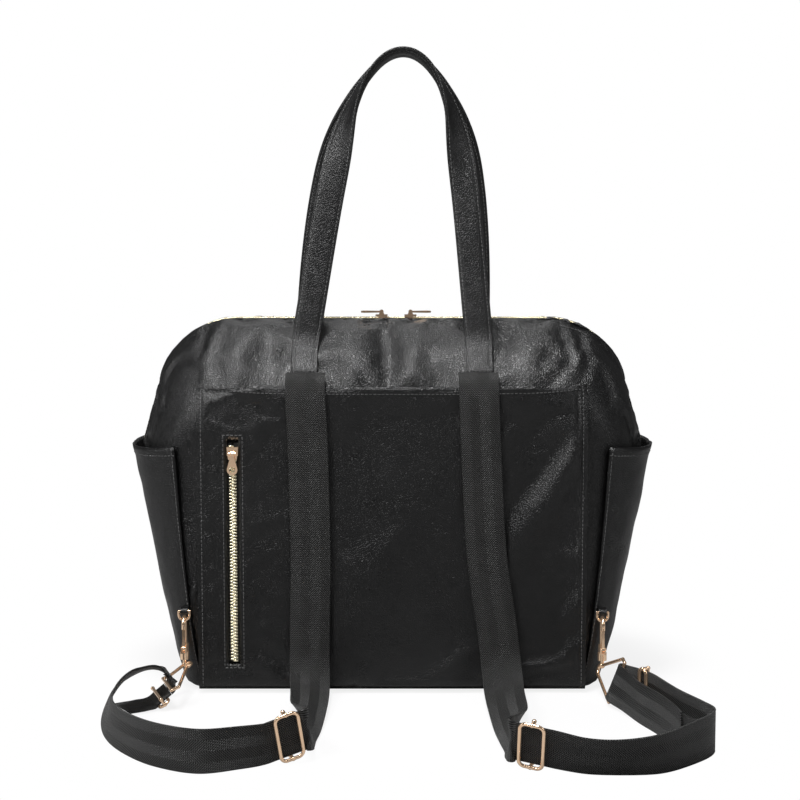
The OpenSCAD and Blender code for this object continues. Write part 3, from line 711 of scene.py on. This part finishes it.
# ---- Back and front pockets --------------------------------------------------------
POCKET_GAP = 5.4
POCKET_FOLDS = (
    ((128, 158), 59, 44, 9, 4.6), ((141, 192), 52, 26, 7, 4.0), ((118, 178), 56, 40, 8, -3.0),
    ((104, 140), 58, 34, 8, 2.4), ((86, 205), 35, 26, 9, 2.2), ((-20, 70), 80, 60, 30, 0.8),
    ((118, 22), 10, 26, 4.5, 2.6), ((112, 14), 8, 26, 3.5, -1.6), ((-140, 30), 70, 26, 6, 1.2),
)
ZIP_WINDOW = 4.5


def pocket_top(x, sag):
    return POCKET_H - sag * (1 - (x / POCKET_W) ** 2)


def pocket_point(x, z, relief, mirrored, gap=POCKET_GAP + LEATHER):
    edge = min(POCKET_W - abs(x), z - 1)
    y = half_y(x, max(z, 50)) + gap - base_round(z - 1, 9.0) * 0.9
    y += 0.5 * (1 - smooth((edge - 6) / 3)) + relief
    return Vector((x, y if mirrored else -y, z))


def pocket_relief(x, z, seed, calm):
    """Soft waves of the pocket leather; calm(x, z) keeps the zip's strip flat."""
    inside = smooth((POCKET_W - abs(x)) / 22) * smooth(z / 16)
    top = smooth((pocket_top(x, 0) - z) / 10)
    push = sum(f[4] * fold(x, z, *f[:4]) for f in POCKET_FOLDS)
    push += 1.0 * waves(x, z, 60, 80, seed) + 0.35 * waves(x, z, 20, 26, seed + 4)
    return push * inside * top * calm(x, z)


def pocket_panel(side, mirrored, window, calm, seed):
    (wx0, wx1), (wz0, wz1) = window
    xs = sorted(set([wx0, wx1] + [POCKET_W * math.sin(math.pi * (i / 96 - 0.5)) for i in range(97)]))
    xs = [x for x in xs if x in (wx0, wx1) or min(abs(x - wx0), abs(x - wx1)) > 1.2]
    rows = 84
    heights = [2.2 + (POCKET_H - 2.2) * math.sin(math.pi / 2 * j / rows) for j in range(rows + 1)]
    zs = sorted(set([wz0, wz1] + heights))
    zs = [z for z in zs if z in (wz0, wz1) or min(abs(z - wz0), abs(z - wz1)) > 1.0]
    grid = []
    for x in xs:
        column = []
        for z in zs:
            zz = z - (POCKET_H - pocket_top(x, 4.0)) * smooth((z - 215) / (POCKET_H - 215))
            lean = half_y(x, 200) - half_y(x, z) if z > 200 else 0.0
            lip = 0.9 * lean * (1 - abs(x / POCKET_W) ** 5) + 0.9 * smooth((z - 244) / 3)
            relief = pocket_relief(x, z, seed, calm) + lip
            column.append(pocket_point(x, zz, relief, mirrored))
        grid.append(column)

    def held(i, j):
        x, z = xs[i], zs[j]
        seam = abs(x) > POCKET_W - 5 or z < 6
        strip = wx0 - 9 < x < wx1 + 9 and wz0 - 12 < z < wz1 + 9
        return 1.0 if seam or strip else 0.0

    def limit(i, j):
        return 1.4 + 3.6 * smooth((abs(xs[i]) - 75) / 25)

    grid = drape(grid, held, limit, 0.012, 0.45, mirrored)

    def in_window(cell):
        i, j = cell
        x, z = (xs[i] + xs[i + 1]) / 2, (zs[j] + zs[j + 1]) / 2
        return wx0 < x < wx1 and wz0 < z < wz1

    piece = sheet(side + "_pocket_leather", grid, LEATHER, skip=in_window, flip=mirrored)
    on_bag(piece, side + "_pocket_panel")

    def surface(x, z):
        i = max(k for k in range(len(xs)) if xs[k] <= x) if x > xs[0] else 0
        j = max(k for k in range(len(zs)) if zs[k] <= z) if z > zs[0] else 0
        i, j = min(i, len(xs) - 2), min(j, len(zs) - 2)
        fx = (x - xs[i]) / (xs[i + 1] - xs[i])
        fz = (z - zs[j]) / (zs[j + 1] - zs[j])
        low = grid[i][j].lerp(grid[i + 1][j], fx)
        high = grid[i][j + 1].lerp(grid[i + 1][j + 1], fx)
        return low.lerp(high, fz)

    parts = Parts()

    def run(path):
        points = [surface(x, z) for x, z in path]
        up = Vector((0, 1 if mirrored else -1, 0))
        stitch(parts, points, [up] * len(points), sink=0.0)

    def line(a, b, count=90):
        return [(lerp(a[0], b[0], k / count), lerp(a[1], b[1], k / count)) for k in range(count + 1)]

    inset = 3.6
    run(line((-POCKET_W + inset, 4), (-POCKET_W + inset, POCKET_H - inset)))
    run(line((POCKET_W - inset, 4), (POCKET_W - inset, POCKET_H - inset)))
    run(line((-POCKET_W + inset, POCKET_H - inset), (POCKET_W - inset, POCKET_H - inset)))
    frame_gap = 3.2
    corners = [(wx0 - frame_gap, wz0 - frame_gap), (wx1 + frame_gap, wz0 - frame_gap),
               (wx1 + frame_gap, wz1 + frame_gap), (wx0 - frame_gap, wz1 + frame_gap)]
    for a, b in zip(corners, corners[1:] + corners[:1]):
        run(line(a, b, 60))
    on_bag(parts.build(side + "_pocket_stitching", THREAD_MAT))


def divider():
    """Second leather lip behind the back pocket's mouth, with rounded ends."""
    low, high = node_box("back_pocket_divider")
    cols, rows = 60, 26
    grid = []
    for i in range(cols + 1):
        x = lerp(low.x, high.x, i / cols)
        end = clamp((abs(x) / high.x - 0.93) / 0.07)
        top = high.z + 1.2 - 9 * (1 - math.sqrt(1 - end * end)) - 1.4 * (1 - (x / high.x) ** 2)
        column = []
        for j in range(rows + 1):
            z = lerp(low.z, top, math.sin(math.pi / 2 * j / rows))
            column.append(Vector((x, -half_y(x, z) - 2.4 - 0.8 * smooth((z - 225) / 20), z)))
        grid.append(column)
    on_bag(sheet("back_pocket_divider_leather", grid, 1.1), "back_pocket_divider")
    parts = Parts()
    rim = [column[-1] - Vector((0, 0.05, 3.0)) for column in grid]
    stitch(parts, rim, [Vector((0, -1, 0))] * len(rim), sink=0.0)
    on_bag(parts.build("divider_stitching", THREAD_MAT))


def side_point(z, a, gap):
    r, e = corner_x(z), edge_d(z)
    c = side_w(z) - r
    q, s = abs(a), (-1 if a < 0 else 1)
    turn = math.radians(74) * clamp((q - 0.3) / 0.7)
    if q < 0.3:
        return Vector((c + r + gap, e * a / 0.3, z))
    return Vector((c + (r + gap) * math.cos(turn), s * (e + (depth(z) - e + gap) * math.sin(turn)), z))


def side_pocket(side, mirror_x, seed):
    cols, rows = 72, 60
    top = SIDE_POCKET_H
    grid = []
    for i in range(rows + 1):
        t = i / rows
        z = 1.2 + (top - 1.2) * t
        row = []
        for k in range(cols + 1):
            a = 2 * k / cols - 1
            loose = (1 - abs(a) ** 3)
            gap = 2.6 + 5.2 * t ** 2 * (0.35 + 0.65 * loose)
            seam = smooth((1 - abs(a)) / 0.1)
            ripple = 1.4 * waves(a * 70, z, 30, 34, seed) + 0.5 * waves(a * 70, z, 11, 15, seed + 3)
            gap += seam * ripple * smooth(t * 8)
            gap += 0.55 * smooth((t - 0.955) / 0.02) - 0.5 * (1 - seam)
            p = side_point(z, a, gap)
            roll = base_round(z)
            p.x *= 1 - roll / BASE_W
            p.y *= 1 - roll / HALF_D
            p.z += 1.8 * abs(a) ** 2 * smooth((t - 0.7) / 0.3) - 2.0 * loose * smooth((t - 0.8) / 0.2)
            row.append(Vector((-p.x, p.y, p.z)) if mirror_x else p)
        grid.append(row)
    columns = [list(c) for c in zip(*grid)]
    on_bag(sheet("side_pocket_leather_" + side, columns, LEATHER, flip=mirror_x), "side_pocket_" + side)
    parts = Parts()
    normals = grid_normals(columns)
    sign = -1 if mirror_x else 1

    def run(cells):
        points = [columns[i][j] for i, j in cells]
        ups = [sign * normals[i][j] for i, j in cells]
        stitch(parts, points, ups, sink=0.0)

    hem = rows - 2
    run([(i, hem) for i in range(cols + 1)])
    for i in (1, cols - 1):
        run([(i, j) for j in range(rows + 1)])
    on_bag(parts.build("side_pocket_stitching_" + side, THREAD_MAT))


# ---- Ribbons: handles and webbing ---------------------------------------------------
def between(a, b, ta, tb, t):
    return [((tb - t) * p + (t - ta) * q) / (tb - ta) for p, q in zip(a, b)]


def spline(stations, count):
    """Even curve through stations (x, y, z, wx, wy, wz): a centre and a width direction."""
    ends = [[2 * a - b for a, b in zip(stations[0], stations[1])],
            [2 * a - b for a, b in zip(stations[-1], stations[-2])]]
    s = [ends[0]] + stations + [ends[1]]
    out = []
    for i in range(1, len(s) - 2):
        p, q, r, u = s[i - 1:i + 3]
        t1, t2, t3 = [math.sqrt(max(0.01, math.dist(a[:3], b[:3]))) for a, b in ((p, q), (q, r), (r, u))]
        t2 += t1
        t3 += t2
        for k in range(count):
            t = t1 + (t2 - t1) * k / count
            a, b, c = between(p, q, 0, t1, t), between(q, r, t1, t2, t), between(r, u, t2, t3, t)
            out.append(between(between(a, b, 0, t2, t), between(b, c, t1, t3, t), t1, t2, t))
    out.append(list(stations[-1]))
    return out


def ribbon_frames(run):
    """(centre, direction, width direction, normal, distance) at each station."""
    out = []
    far = 0.0
    for i, station in enumerate(run):
        c = Vector(station[:3])
        a, b = Vector(run[max(0, i - 1)][:3]), Vector(run[min(len(run) - 1, i + 1)][:3])
        along = (b - a).normalized()
        w = Vector(station[3:])
        w = (w - w.dot(along) * along).normalized()
        if i:
            far += (c - Vector(run[i - 1][:3])).length
        out.append((c, along, w, along.cross(w), far))
    return out


def ribbon(name, frames, profile, material):
    """Closed band: profile(i) lists (across, out) points round the section, in order."""
    points, uvs = [], []
    count = len(profile(0))
    for i, (c, along, w, n, far) in enumerate(frames):
        for x, h in profile(i):
            points.append(c + w * x + n * h)
            uvs.append((x * MM + WEB_W * MM / 2, far * MM))
    return make_object(name, points, tube_faces(len(frames), count), material, uvs)


def handle_station(p, sign):
    """Place and width direction at angle p of the arch; the front legs bow out a little more."""
    h = math.sin(p)
    g = -1 if math.cos(p) < 0 else 1
    spread = 0.0 if sign > 0 else 0.4
    half = LEG_X * (1 - 0.42 * h + spread * h * (1 - h)) * math.sqrt(max(0.0, 1 - h ** 6))
    w = math.pi / 2 * smooth(2 * h - 1)
    y = -13 - (HINGE_Y - 13) * (1 - h) ** 1.3
    return [9 * h - g * half, sign * y, HINGE_Z + 1.5 + (HANDLE_TOP - HINGE_Z) * h,
            g * math.cos(w), -sign * math.sin(w), 0]


TAB_LOW = 256.5
TAB_OUT = 4.6


def handle(side, sign):
    """One band: both ends lie sewn on the shell, the rest stands up as an arch."""
    def foot(x, z):
        return [x, -sign * (half_y(x, z) + TAB_OUT), z, 1.0, 0.0, 0.0]

    left = [foot(-LEG_X, TAB_LOW + 3.2 * k) for k in range(7)]
    right = [foot(LEG_X, TAB_LOW + 3.2 * k) for k in range(6, -1, -1)]
    for station in right:
        station[3] = -1.0
    count = 130
    arch = [handle_station(math.pi * k / count, sign) for k in range(1, count)]
    frames = ribbon_frames(left + arch + right)

    def profile(i):
        c = frames[i][0]
        lift = smooth((c.z - 274) / 30)
        cup = 3.4 * smooth((c.z - 400) / 90)
        half = HANDLE_W / 2 - 0.9 * smooth((c.z - 430) / 80) - 0.8 * smooth((300 - c.z) / 30)
        side_n = 1 if sign > 0 else -1
        out = []
        spread = (-1, -0.97, -0.9, -0.8, -0.72, -0.5, -0.25, 0, 0.25, 0.5, 0.72, 0.8, 0.9, 0.97, 1)
        for face in (1, -1):
            for v in (spread if face > 0 else spread[::-1]):
                pad = 1.1 + (0.75 * lift + 0.15) * smooth((1 - abs(v)) / 0.45)
                pad -= 0.28 * math.exp(-((abs(v) - 0.8) / 0.05) ** 2)
                rim = 0.55 if abs(v) > 0.99 else 1.0
                wobble = 0.25 * waves(c.x + v * 9, c.z, 18, 26, 12.0 + face)
                out.append((v * half, face * pad * rim + wobble * lift - side_n * cup * (v * v - 0.4)))
        return out

    band = ribbon("handle_band_" + side, frames, profile, HANDLE_MAT)
    parts = Parts()
    for v in (-0.8, 0.8):
        for face in (1, -1):
            points, ups = [], []
            for i, (c, along, w, n, far) in enumerate(frames):
                section = profile(i)
                twins = [q for q in range(len(section)) if abs(section[q][0] - v * section[14][0]) < 0.01]
                k = twins[0 if face > 0 else 1]
                points.append(c + w * section[k][0] + n * (section[k][1] + face * 0.12))
                ups.append(n * face)
            stitch(parts, points, ups, sink=0.0)
    for x in (-LEG_X, LEG_X):
        box_half, z0, z1 = HANDLE_W * 0.36, TAB_LOW + 2.4, HINGE_Z - 3.5

        def spot(px, pz):
            return Vector((px, -sign * (half_y(x, pz) + TAB_OUT + 1.45), pz))

        corners = [(x - box_half, z0), (x + box_half, z0), (x + box_half, z1), (x - box_half, z1)]
        runs = list(zip(corners, corners[1:] + corners[:1]))
        runs += [(corners[0], corners[2]), (corners[1], corners[3])]
        for (ax, az), (bx, bz) in runs:
            points = [spot(lerp(ax, bx, k / 12), lerp(az, bz, k / 12)) for k in range(13)]
            up = Vector((0, -sign, 0.9)).normalized()
            stitch(parts, points, [up] * 13, sink=0.0)
    thread = parts.build("handle_stitching_" + side, THREAD_MAT)
    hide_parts("handle_" + side, "handle_tabs_" + side)
    for piece in (band, thread):
        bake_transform(piece)


def unit(*v):
    return Vector(v).normalized()


WEB_Y = HALF_D + 12
FLOOR_Z = WEB_W / 2 + 0.3
WIRE = 1.3
FOLD_R = WIRE + 1.2 + WEB_T / 2
DOWN, UP = (0, 0, -1), (0, 0, 1)
ADJUST_L, ADJUST_DIR_L = Vector((-72.6, -269.5, 20.4)), unit(-0.89, -0.39, -0.227)
ADJUST_R, ADJUST_DIR_R = Vector((98, -291.5, 20.4)), unit(0.94, -0.32, -0.126)
ADJUST_W_L, ADJUST_W_R = (0.133, 0.253, -0.958), (0.01, -0.344, 0.938)
FOLD_L, ACROSS_L = Vector((-177, -112, 16)), unit(-0.3, 0.954, 0)
FOLD_X_L = ACROSS_L.cross(Vector((0, 0, 1)))
FOLD_AT_R, ACROSS_R = Vector((176.5, -117, 18.6)), unit(0.3, -0.25, 0.92)
KEEPER_DIR_L = -0.8 * FOLD_X_L - Vector((0, 0, 0.6))
BACK_N, BACK_T = Vector((0.87, 0.49, 0)), Vector((-0.49, 0.87, 0))
FOLD_X_R = BACK_T.cross(ACROSS_R).normalized()
KEEPER_R = FOLD_AT_R - 33 * BACK_T + 3 * BACK_N + Vector((0, 0, 0.6))


def at(place, width):
    return list(place) + list(width)


def straight(place, along, width):
    """Stations of the straight run through an adjuster."""
    return [at(place + s * along, width) for s in (-15, -11, 0, 12, 18)]


def round_bar(bar, side, across, angles):
    """Stations of the fold around an eye's bar, at angles from the direction side."""
    turns = [math.radians(a) for a in angles]
    return [at(bar + FOLD_R * (math.cos(a) * side + math.sin(a) * across.cross(side)), across) for a in turns]


def by_bar(x, z):
    """Point x beside and z above the left eye's bar."""
    return FOLD_L + x * FOLD_X_L + Vector((0, 0, z))


def left_path():
    keeper = by_bar(FOLD_R * 0.6, -FOLD_R * 0.8) + 11 * KEEPER_DIR_L
    return [
        at((-69, -62, 257.5), (1, 0, 0)), at((-69, -72, 255), (1, 0, 0)), at((-69, -80.5, 246), (1, 0, 0)),
        at((-67, -WEB_Y, 205), (1, 0, 0)), at((-65, -WEB_Y, 110), (1, 0, 0)),
        at((-66, -WEB_Y, 50), (1, 0, 0)),
        at((-66, -WEB_Y - 3, 26), (1, 0, -0.03)), at((-65, -105, 14), (0.98, 0, -0.2)),
        at((-64, -150, 13), (0.85, 0.1, -0.5)), at((-64, -190, 12.5), (0.7, 0.05, -0.7)),
        at((-63, -220, 15.5), (0.45, 0.1, -0.87)), at((-60, -246, 20), (0.22, 0.2, -0.95)),
        *straight(ADJUST_L, ADJUST_DIR_L, ADJUST_W_L), at((-107, -286, FLOOR_Z), (0.05, 0.12, -1)),
        at((-133, -294, FLOOR_Z), DOWN), at((-165, -278, FLOOR_Z), DOWN),
        at((-191, -248, FLOOR_Z), DOWN), at((-206, -218, 17), (-0.15, 0.1, -0.98)),
        at((-212, -186, 19), (-0.35, 0.1, -0.9)), at((-211, -158, 23), (-0.5, 0.3, -0.8)),
        at((-205, -136, 27.5), (-0.55, 0.6, -0.55)), at((-194, -122, 30), (-0.5, 0.78, -0.38)),
        at(by_bar(-8.5, 13), (-0.38, 0.9, -0.15)), at(by_bar(0.5, 9.5), ACROSS_L),
        *round_bar(FOLD_L, FOLD_X_L, -ACROSS_L, (12, -20, -52)),
        *[at(keeper + s * KEEPER_DIR_L, ACROSS_L) for s in (-7, 0, 7)],
        at((-197, -121, 1.5), (-0.4, 0.9, 0)), at((-210, -129, 1.2), (-0.35, 0.93, 0))]


def right_path():
    return [
        at((69, -62, 257.5), (1, 0, 0)), at((69, -72, 255), (1, 0, 0)), at((69, -80.5, 246), (1, 0, 0)),
        at((70.5, -WEB_Y, 205), (1, 0, 0)), at((76, -WEB_Y, 110), (1, 0, 0.05)),
        at((84, -WEB_Y, 55), (1, 0, 0.1)),
        at((87, -WEB_Y - 4, 28), (1, 0, 0.12)), at((88, -107, 15), (0.95, 0, 0.22)),
        at((88, -150, 13), (0.85, 0, 0.5)), at((89, -190, 11.5), (0.77, 0, 0.63)),
        at((89, -225, 14.5), (0.6, -0.05, 0.8)), at((87.5, -252, 17.5), (0.35, -0.12, 0.93)),
        at((84, -274, 20.5), (0.12, -0.3, 0.95)),
        *straight(ADJUST_R, ADJUST_DIR_R, ADJUST_W_R), at((135, -303, 15.6), (-0.06, -0.4, 0.91)),
        at((158, -304, 15), (-0.1, -0.42, 0.9)), at((186, -297, 15.5), (-0.07, -0.3, 0.95)),
        at((215, -271, FLOOR_Z), (-0.03, -0.08, 1)), at((230, -250, FLOOR_Z), UP),
        at((233, -238, FLOOR_Z), UP), at((228, -222, FLOOR_Z), UP),
        at((214, -190, 17), UP), *[at(KEEPER_R + s * BACK_T, UP) for s in (-8, 0, 8)],
        *round_bar(FOLD_AT_R, FOLD_X_R, ACROSS_R, (-20, 20, 60, 100, 140, 180)),
        at((180.5, -137, 17.5), (0.15, -0.1, 1)), at((188, -167, FLOOR_Z), UP),
        at((198, -198, FLOOR_Z), UP), at((205, -230, FLOOR_Z), UP), at((207.5, -250, FLOOR_Z), UP)]


def webbing(side, path):
    frames = ribbon_frames(spline(path, 12))
    half = WEB_W / 2
    spread = (-1, -0.985, -0.95, -0.9, -0.84, -0.6, -0.3, 0, 0.3, 0.6, 0.84, 0.9, 0.95, 0.985, 1)

    def profile(i):
        out = []
        for face in (1, -1):
            for v in (spread if face > 0 else spread[::-1]):
                q = abs(v)
                h = WEB_T / 2
                h *= 0.35 if q > 0.99 else 0.8 if q > 0.98 else 1.0
                h += 0.1 if 0.93 < q < 0.97 else -0.08 if 0.88 < q < 0.92 else 0.0
                out.append((v * half, face * h))
        return out

    band = ribbon("strap_webbing_" + side, frames, profile, WEB_MAT)
    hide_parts("webbing_" + side)
    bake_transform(band)


# ---- Linings and the parts that keep their CAD shape --------------------------------
def soft_box(name, node, material, bulge):
    """Thin fabric bag in a CAD slab's place, puffed in the middle and closed at its rim."""
    low, high = node_box(node)
    mid, size = (low + high) / 2, high - low
    cols = 24
    grid = []
    for i in range(cols + 1):
        column = []
        for j in range(cols + 1):
            a, b = 2 * i / cols - 1, 2 * j / cols - 1
            puff = bulge * (1 - a ** 4) * (1 - b ** 4)
            x, z = mid.x + a * size.x / 2, mid.z + b * size.z / 2
            wrinkle = 0.25 * waves(x, z, 14, 18, 2.0)
            column.append(Vector((x, mid.y - math.copysign(puff + wrinkle, -mid.y), z)))
        grid.append(column)
    on_bag(sheet(name, grid, size.y * 0.8, material), node)


def lining():
    """Tub of lining cloth: walls that follow the shell, 4 mm in, and a floor."""
    low, high = node_box("lining")
    rows, cols = 50, 96
    grid = []
    for j in range(rows + 1):
        z = lerp(low.z, high.z, j / rows)
        reach = side_w(z) if z < SIDE_H else 0.0
        if z >= SIDE_H:
            reach = (TURN_X + (TURN_Z - z) / math.tan(CORNER_TURN) if z < TURN_Z
                     else TOP_HALF + math.sqrt(max(0.0, CORNER_R ** 2 - (z - BAG_H + CORNER_R) ** 2)))
        ring = []
        for k in range(cols + 1):
            a = 2 * math.pi * k / cols
            x = (reach - 5.4) * math.cos(a)
            y = max(2.0, half_y(x, z) - 6.5) * clamp(math.sin(a) * 6, -1, 1)
            ring.append(Vector((x + 0.4 * waves(a * 9, z, 3, 30, 7), y, z)))
        ring[-1] = ring[0].copy()
        grid.append(ring)
    walls = sheet("walls", grid, 0.7, LINING_MAT)
    floor_high = node_box("base_board")[1]
    outline = rounded_outline(floor_high.x - 1, floor_high.y - 1, 12)
    points = [Vector((x, y, z)) for z in (low.z, low.z + 0.7) for x, y in outline]
    floor = make_object("floor", points, tube_faces(2, len(outline)), LINING_MAT)
    on_bag(join("lining_cloth", [walls, floor]), "lining")


def shade(piece, material, angle=40):
    piece.data.materials.clear()
    piece.data.materials.append(material)
    for polygon in piece.data.polygons:
        polygon.use_smooth = True
    piece.data.set_sharp_from_angle(angle=math.radians(angle))


def cad_finishes():
    gold = ("slider", "pull", "adjuster", "keeper", "hook", "pin_", "ring_left", "ring_right")
    for name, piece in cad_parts.items():
        if piece.hide_render:
            continue
        if any(word in name for word in gold):
            shade(piece, GOLD_MAT)
        elif name == "base_board":
            shade(piece, BOARD_MAT)
        elif name.startswith("ring_tab"):
            shade(piece, LEATHER_MAT)
        else:
            shade(piece, LINING_MAT)


# ---- Studio ---------------------------------------------------------------------------
def area_light(name, place, target, size, power, shape="RECTANGLE", tall=None):
    data = bpy.data.lights.new(name, "AREA")
    data.shape = shape
    data.size = size
    if shape == "RECTANGLE":
        data.size_y = tall or size
    data.energy = power
    lamp = bpy.data.objects.new(name, data)
    lamp.location = place
    lamp.rotation_euler = (Vector(target) - Vector(place)).to_track_quat("-Z", "Y").to_euler()
    bpy.context.scene.collection.objects.link(lamp)


def studio():
    mesh = bpy.data.meshes.new("studio_floor")
    size = 6.0
    corners = [(-size, -size, 0), (size, -size, 0), (size, size, 0), (-size, size, 0)]
    mesh.from_pydata(corners, [], [(0, 1, 2, 3)])
    m = Nodes("studio_floor")
    where = m.add("TexCoord").outputs["Object"]
    tone = m.ramp(m.add("TexNoise", Vector=where, Scale=2.0).outputs[0],
                  [(0.3, (0.90, 0.885, 0.90)), (0.7, (0.92, 0.905, 0.92))])
    paper = m.add("BsdfPrincipled", Base_Color=tone, Roughness=0.5)
    far = m.add("VectorMath", {"operation": "LENGTH"}, Vector=where)
    fade = m.add("MapRange", {"interpolation_type": "SMOOTHSTEP"}, i0=far.outputs["Value"], i1=0.2, i2=0.3)
    glow = m.add("Emission", Strength=1.0)
    glow.inputs["Color"].default_value = (1, 1, 1, 1)
    lifted = m.add("MapRange", i0=fade.outputs[0], i3=0.84, i4=1.0)
    seen = m.add("MixShader", i0=lifted.outputs[0], i1=paper.outputs[0], i2=glow.outputs[0])
    dim = m.add("BsdfPrincipled", Roughness=0.6)
    dim.inputs["Base Color"].default_value = grey(0.4)
    mesh.materials.append(m.finish(m.add("MixShader", i0=m.add("LightPath").outputs["Is Camera Ray"],
                                         i1=dim.outputs[0], i2=seen.outputs[0])))
    floor = bpy.data.objects.new("studio_floor", mesh)
    floor.location.z = -0.0006
    bpy.context.scene.collection.objects.link(floor)

    world = bpy.data.worlds.new("studio")
    bpy.context.scene.world = world
    world.use_nodes = True
    nodes, links = world.node_tree.nodes, world.node_tree.links
    nodes.clear()
    out = nodes.new("ShaderNodeOutputWorld")
    mix = nodes.new("ShaderNodeMixShader")
    path = nodes.new("ShaderNodeLightPath")
    seen, lit = nodes.new("ShaderNodeBackground"), nodes.new("ShaderNodeBackground")
    for shade_node, strength in ((seen, 1.0), (lit, 0.1)):
        shade_node.inputs["Color"].default_value = (1, 1, 1, 1)
        shade_node.inputs["Strength"].default_value = strength
    links.new(path.outputs["Is Camera Ray"], mix.inputs[0])
    links.new(lit.outputs[0], mix.inputs[1])
    links.new(seen.outputs[0], mix.inputs[2])
    links.new(mix.outputs[0], out.inputs[0])

    target = (0, 0, 0.2)
    area_light("overhead_softbox", (-0.17, -0.5, 1.7), (-0.02, -0.05, 0), 0.4, 24, tall=0.55)
    area_light("key_softbox", (-0.9, -1.3, 1.5), target, 0.5, 16, tall=0.5)
    area_light("left_softbox", (-1.7, -0.4, 0.9), target, 0.5, 6, tall=1.2)
    area_light("right_softbox", (1.5, -0.8, 1.0), target, 0.5, 4, tall=0.9)
    area_light("back_wash", (0, 1.6, 1.9), (0, 0.0, 0), 1.2, 8, tall=0.8)
    area_light("floor_wash", (0, -1.0, 2.6), (0, -0.3, 0), 1.2, 6, tall=0.8)


def camera():
    data = bpy.data.cameras.new("camera")
    data.sensor_width = 36
    data.lens = 85.44
    cam = bpy.data.objects.new("camera", data)
    cam.location = (0.00632, -1.575, 0.400)
    cam.rotation_euler = (math.radians(90 - 6.19), 0, 0)
    bpy.context.scene.collection.objects.link(cam)
    bpy.context.scene.camera = cam
    bpy.context.scene.view_settings.view_transform = "Standard"


# ---- Assembly ------------------------------------------------------------------------
body_shells()
gussets()
base()
top_zip()
back_window = ((-127 - ZIP_WINDOW, -127 + ZIP_WINDOW), (23.5, 206.0))
pocket_panel("back", False, back_window,
             lambda x, z: smooth((abs(x + 127) - 12) / 10) if z < 214 else 1.0, 2.0)
front_window = ((-94.0, 94.0), (199.0, 211.0))
pocket_panel("front", True, front_window,
             lambda x, z: smooth((abs(z - 205) - 10) / 10) if abs(x) < 104 else 1.0, 6.0)
divider()
zip_y = centre("back_zip_chain").y
flat_zip("back_zip_chain", "back_zip_tape", Vector((-127, zip_y, 201)), Vector((-127, zip_y, 26)),
         Vector((0, -1, 0)), "back_zip")
flat_zip("front_zip_chain", "front_zip_tape", Vector((-85, -zip_y, 205)), Vector((85, -zip_y, 205)),
         Vector((0, 1, 0)), "front_zip")
side_pocket("left", True, 3.0)
side_pocket("right", False, 8.0)
handle("back", 1)
handle("front", -1)
webbing("left", left_path())
webbing("right", right_path())
soft_box("back_zip_pouch_cloth", "back_zip_pouch", LINING_MAT, 0.2)
soft_box("front_zip_pouch_cloth", "front_zip_pouch", LINING_MAT, 0.2)
lining()
cad_finishes()
studio()
camera()
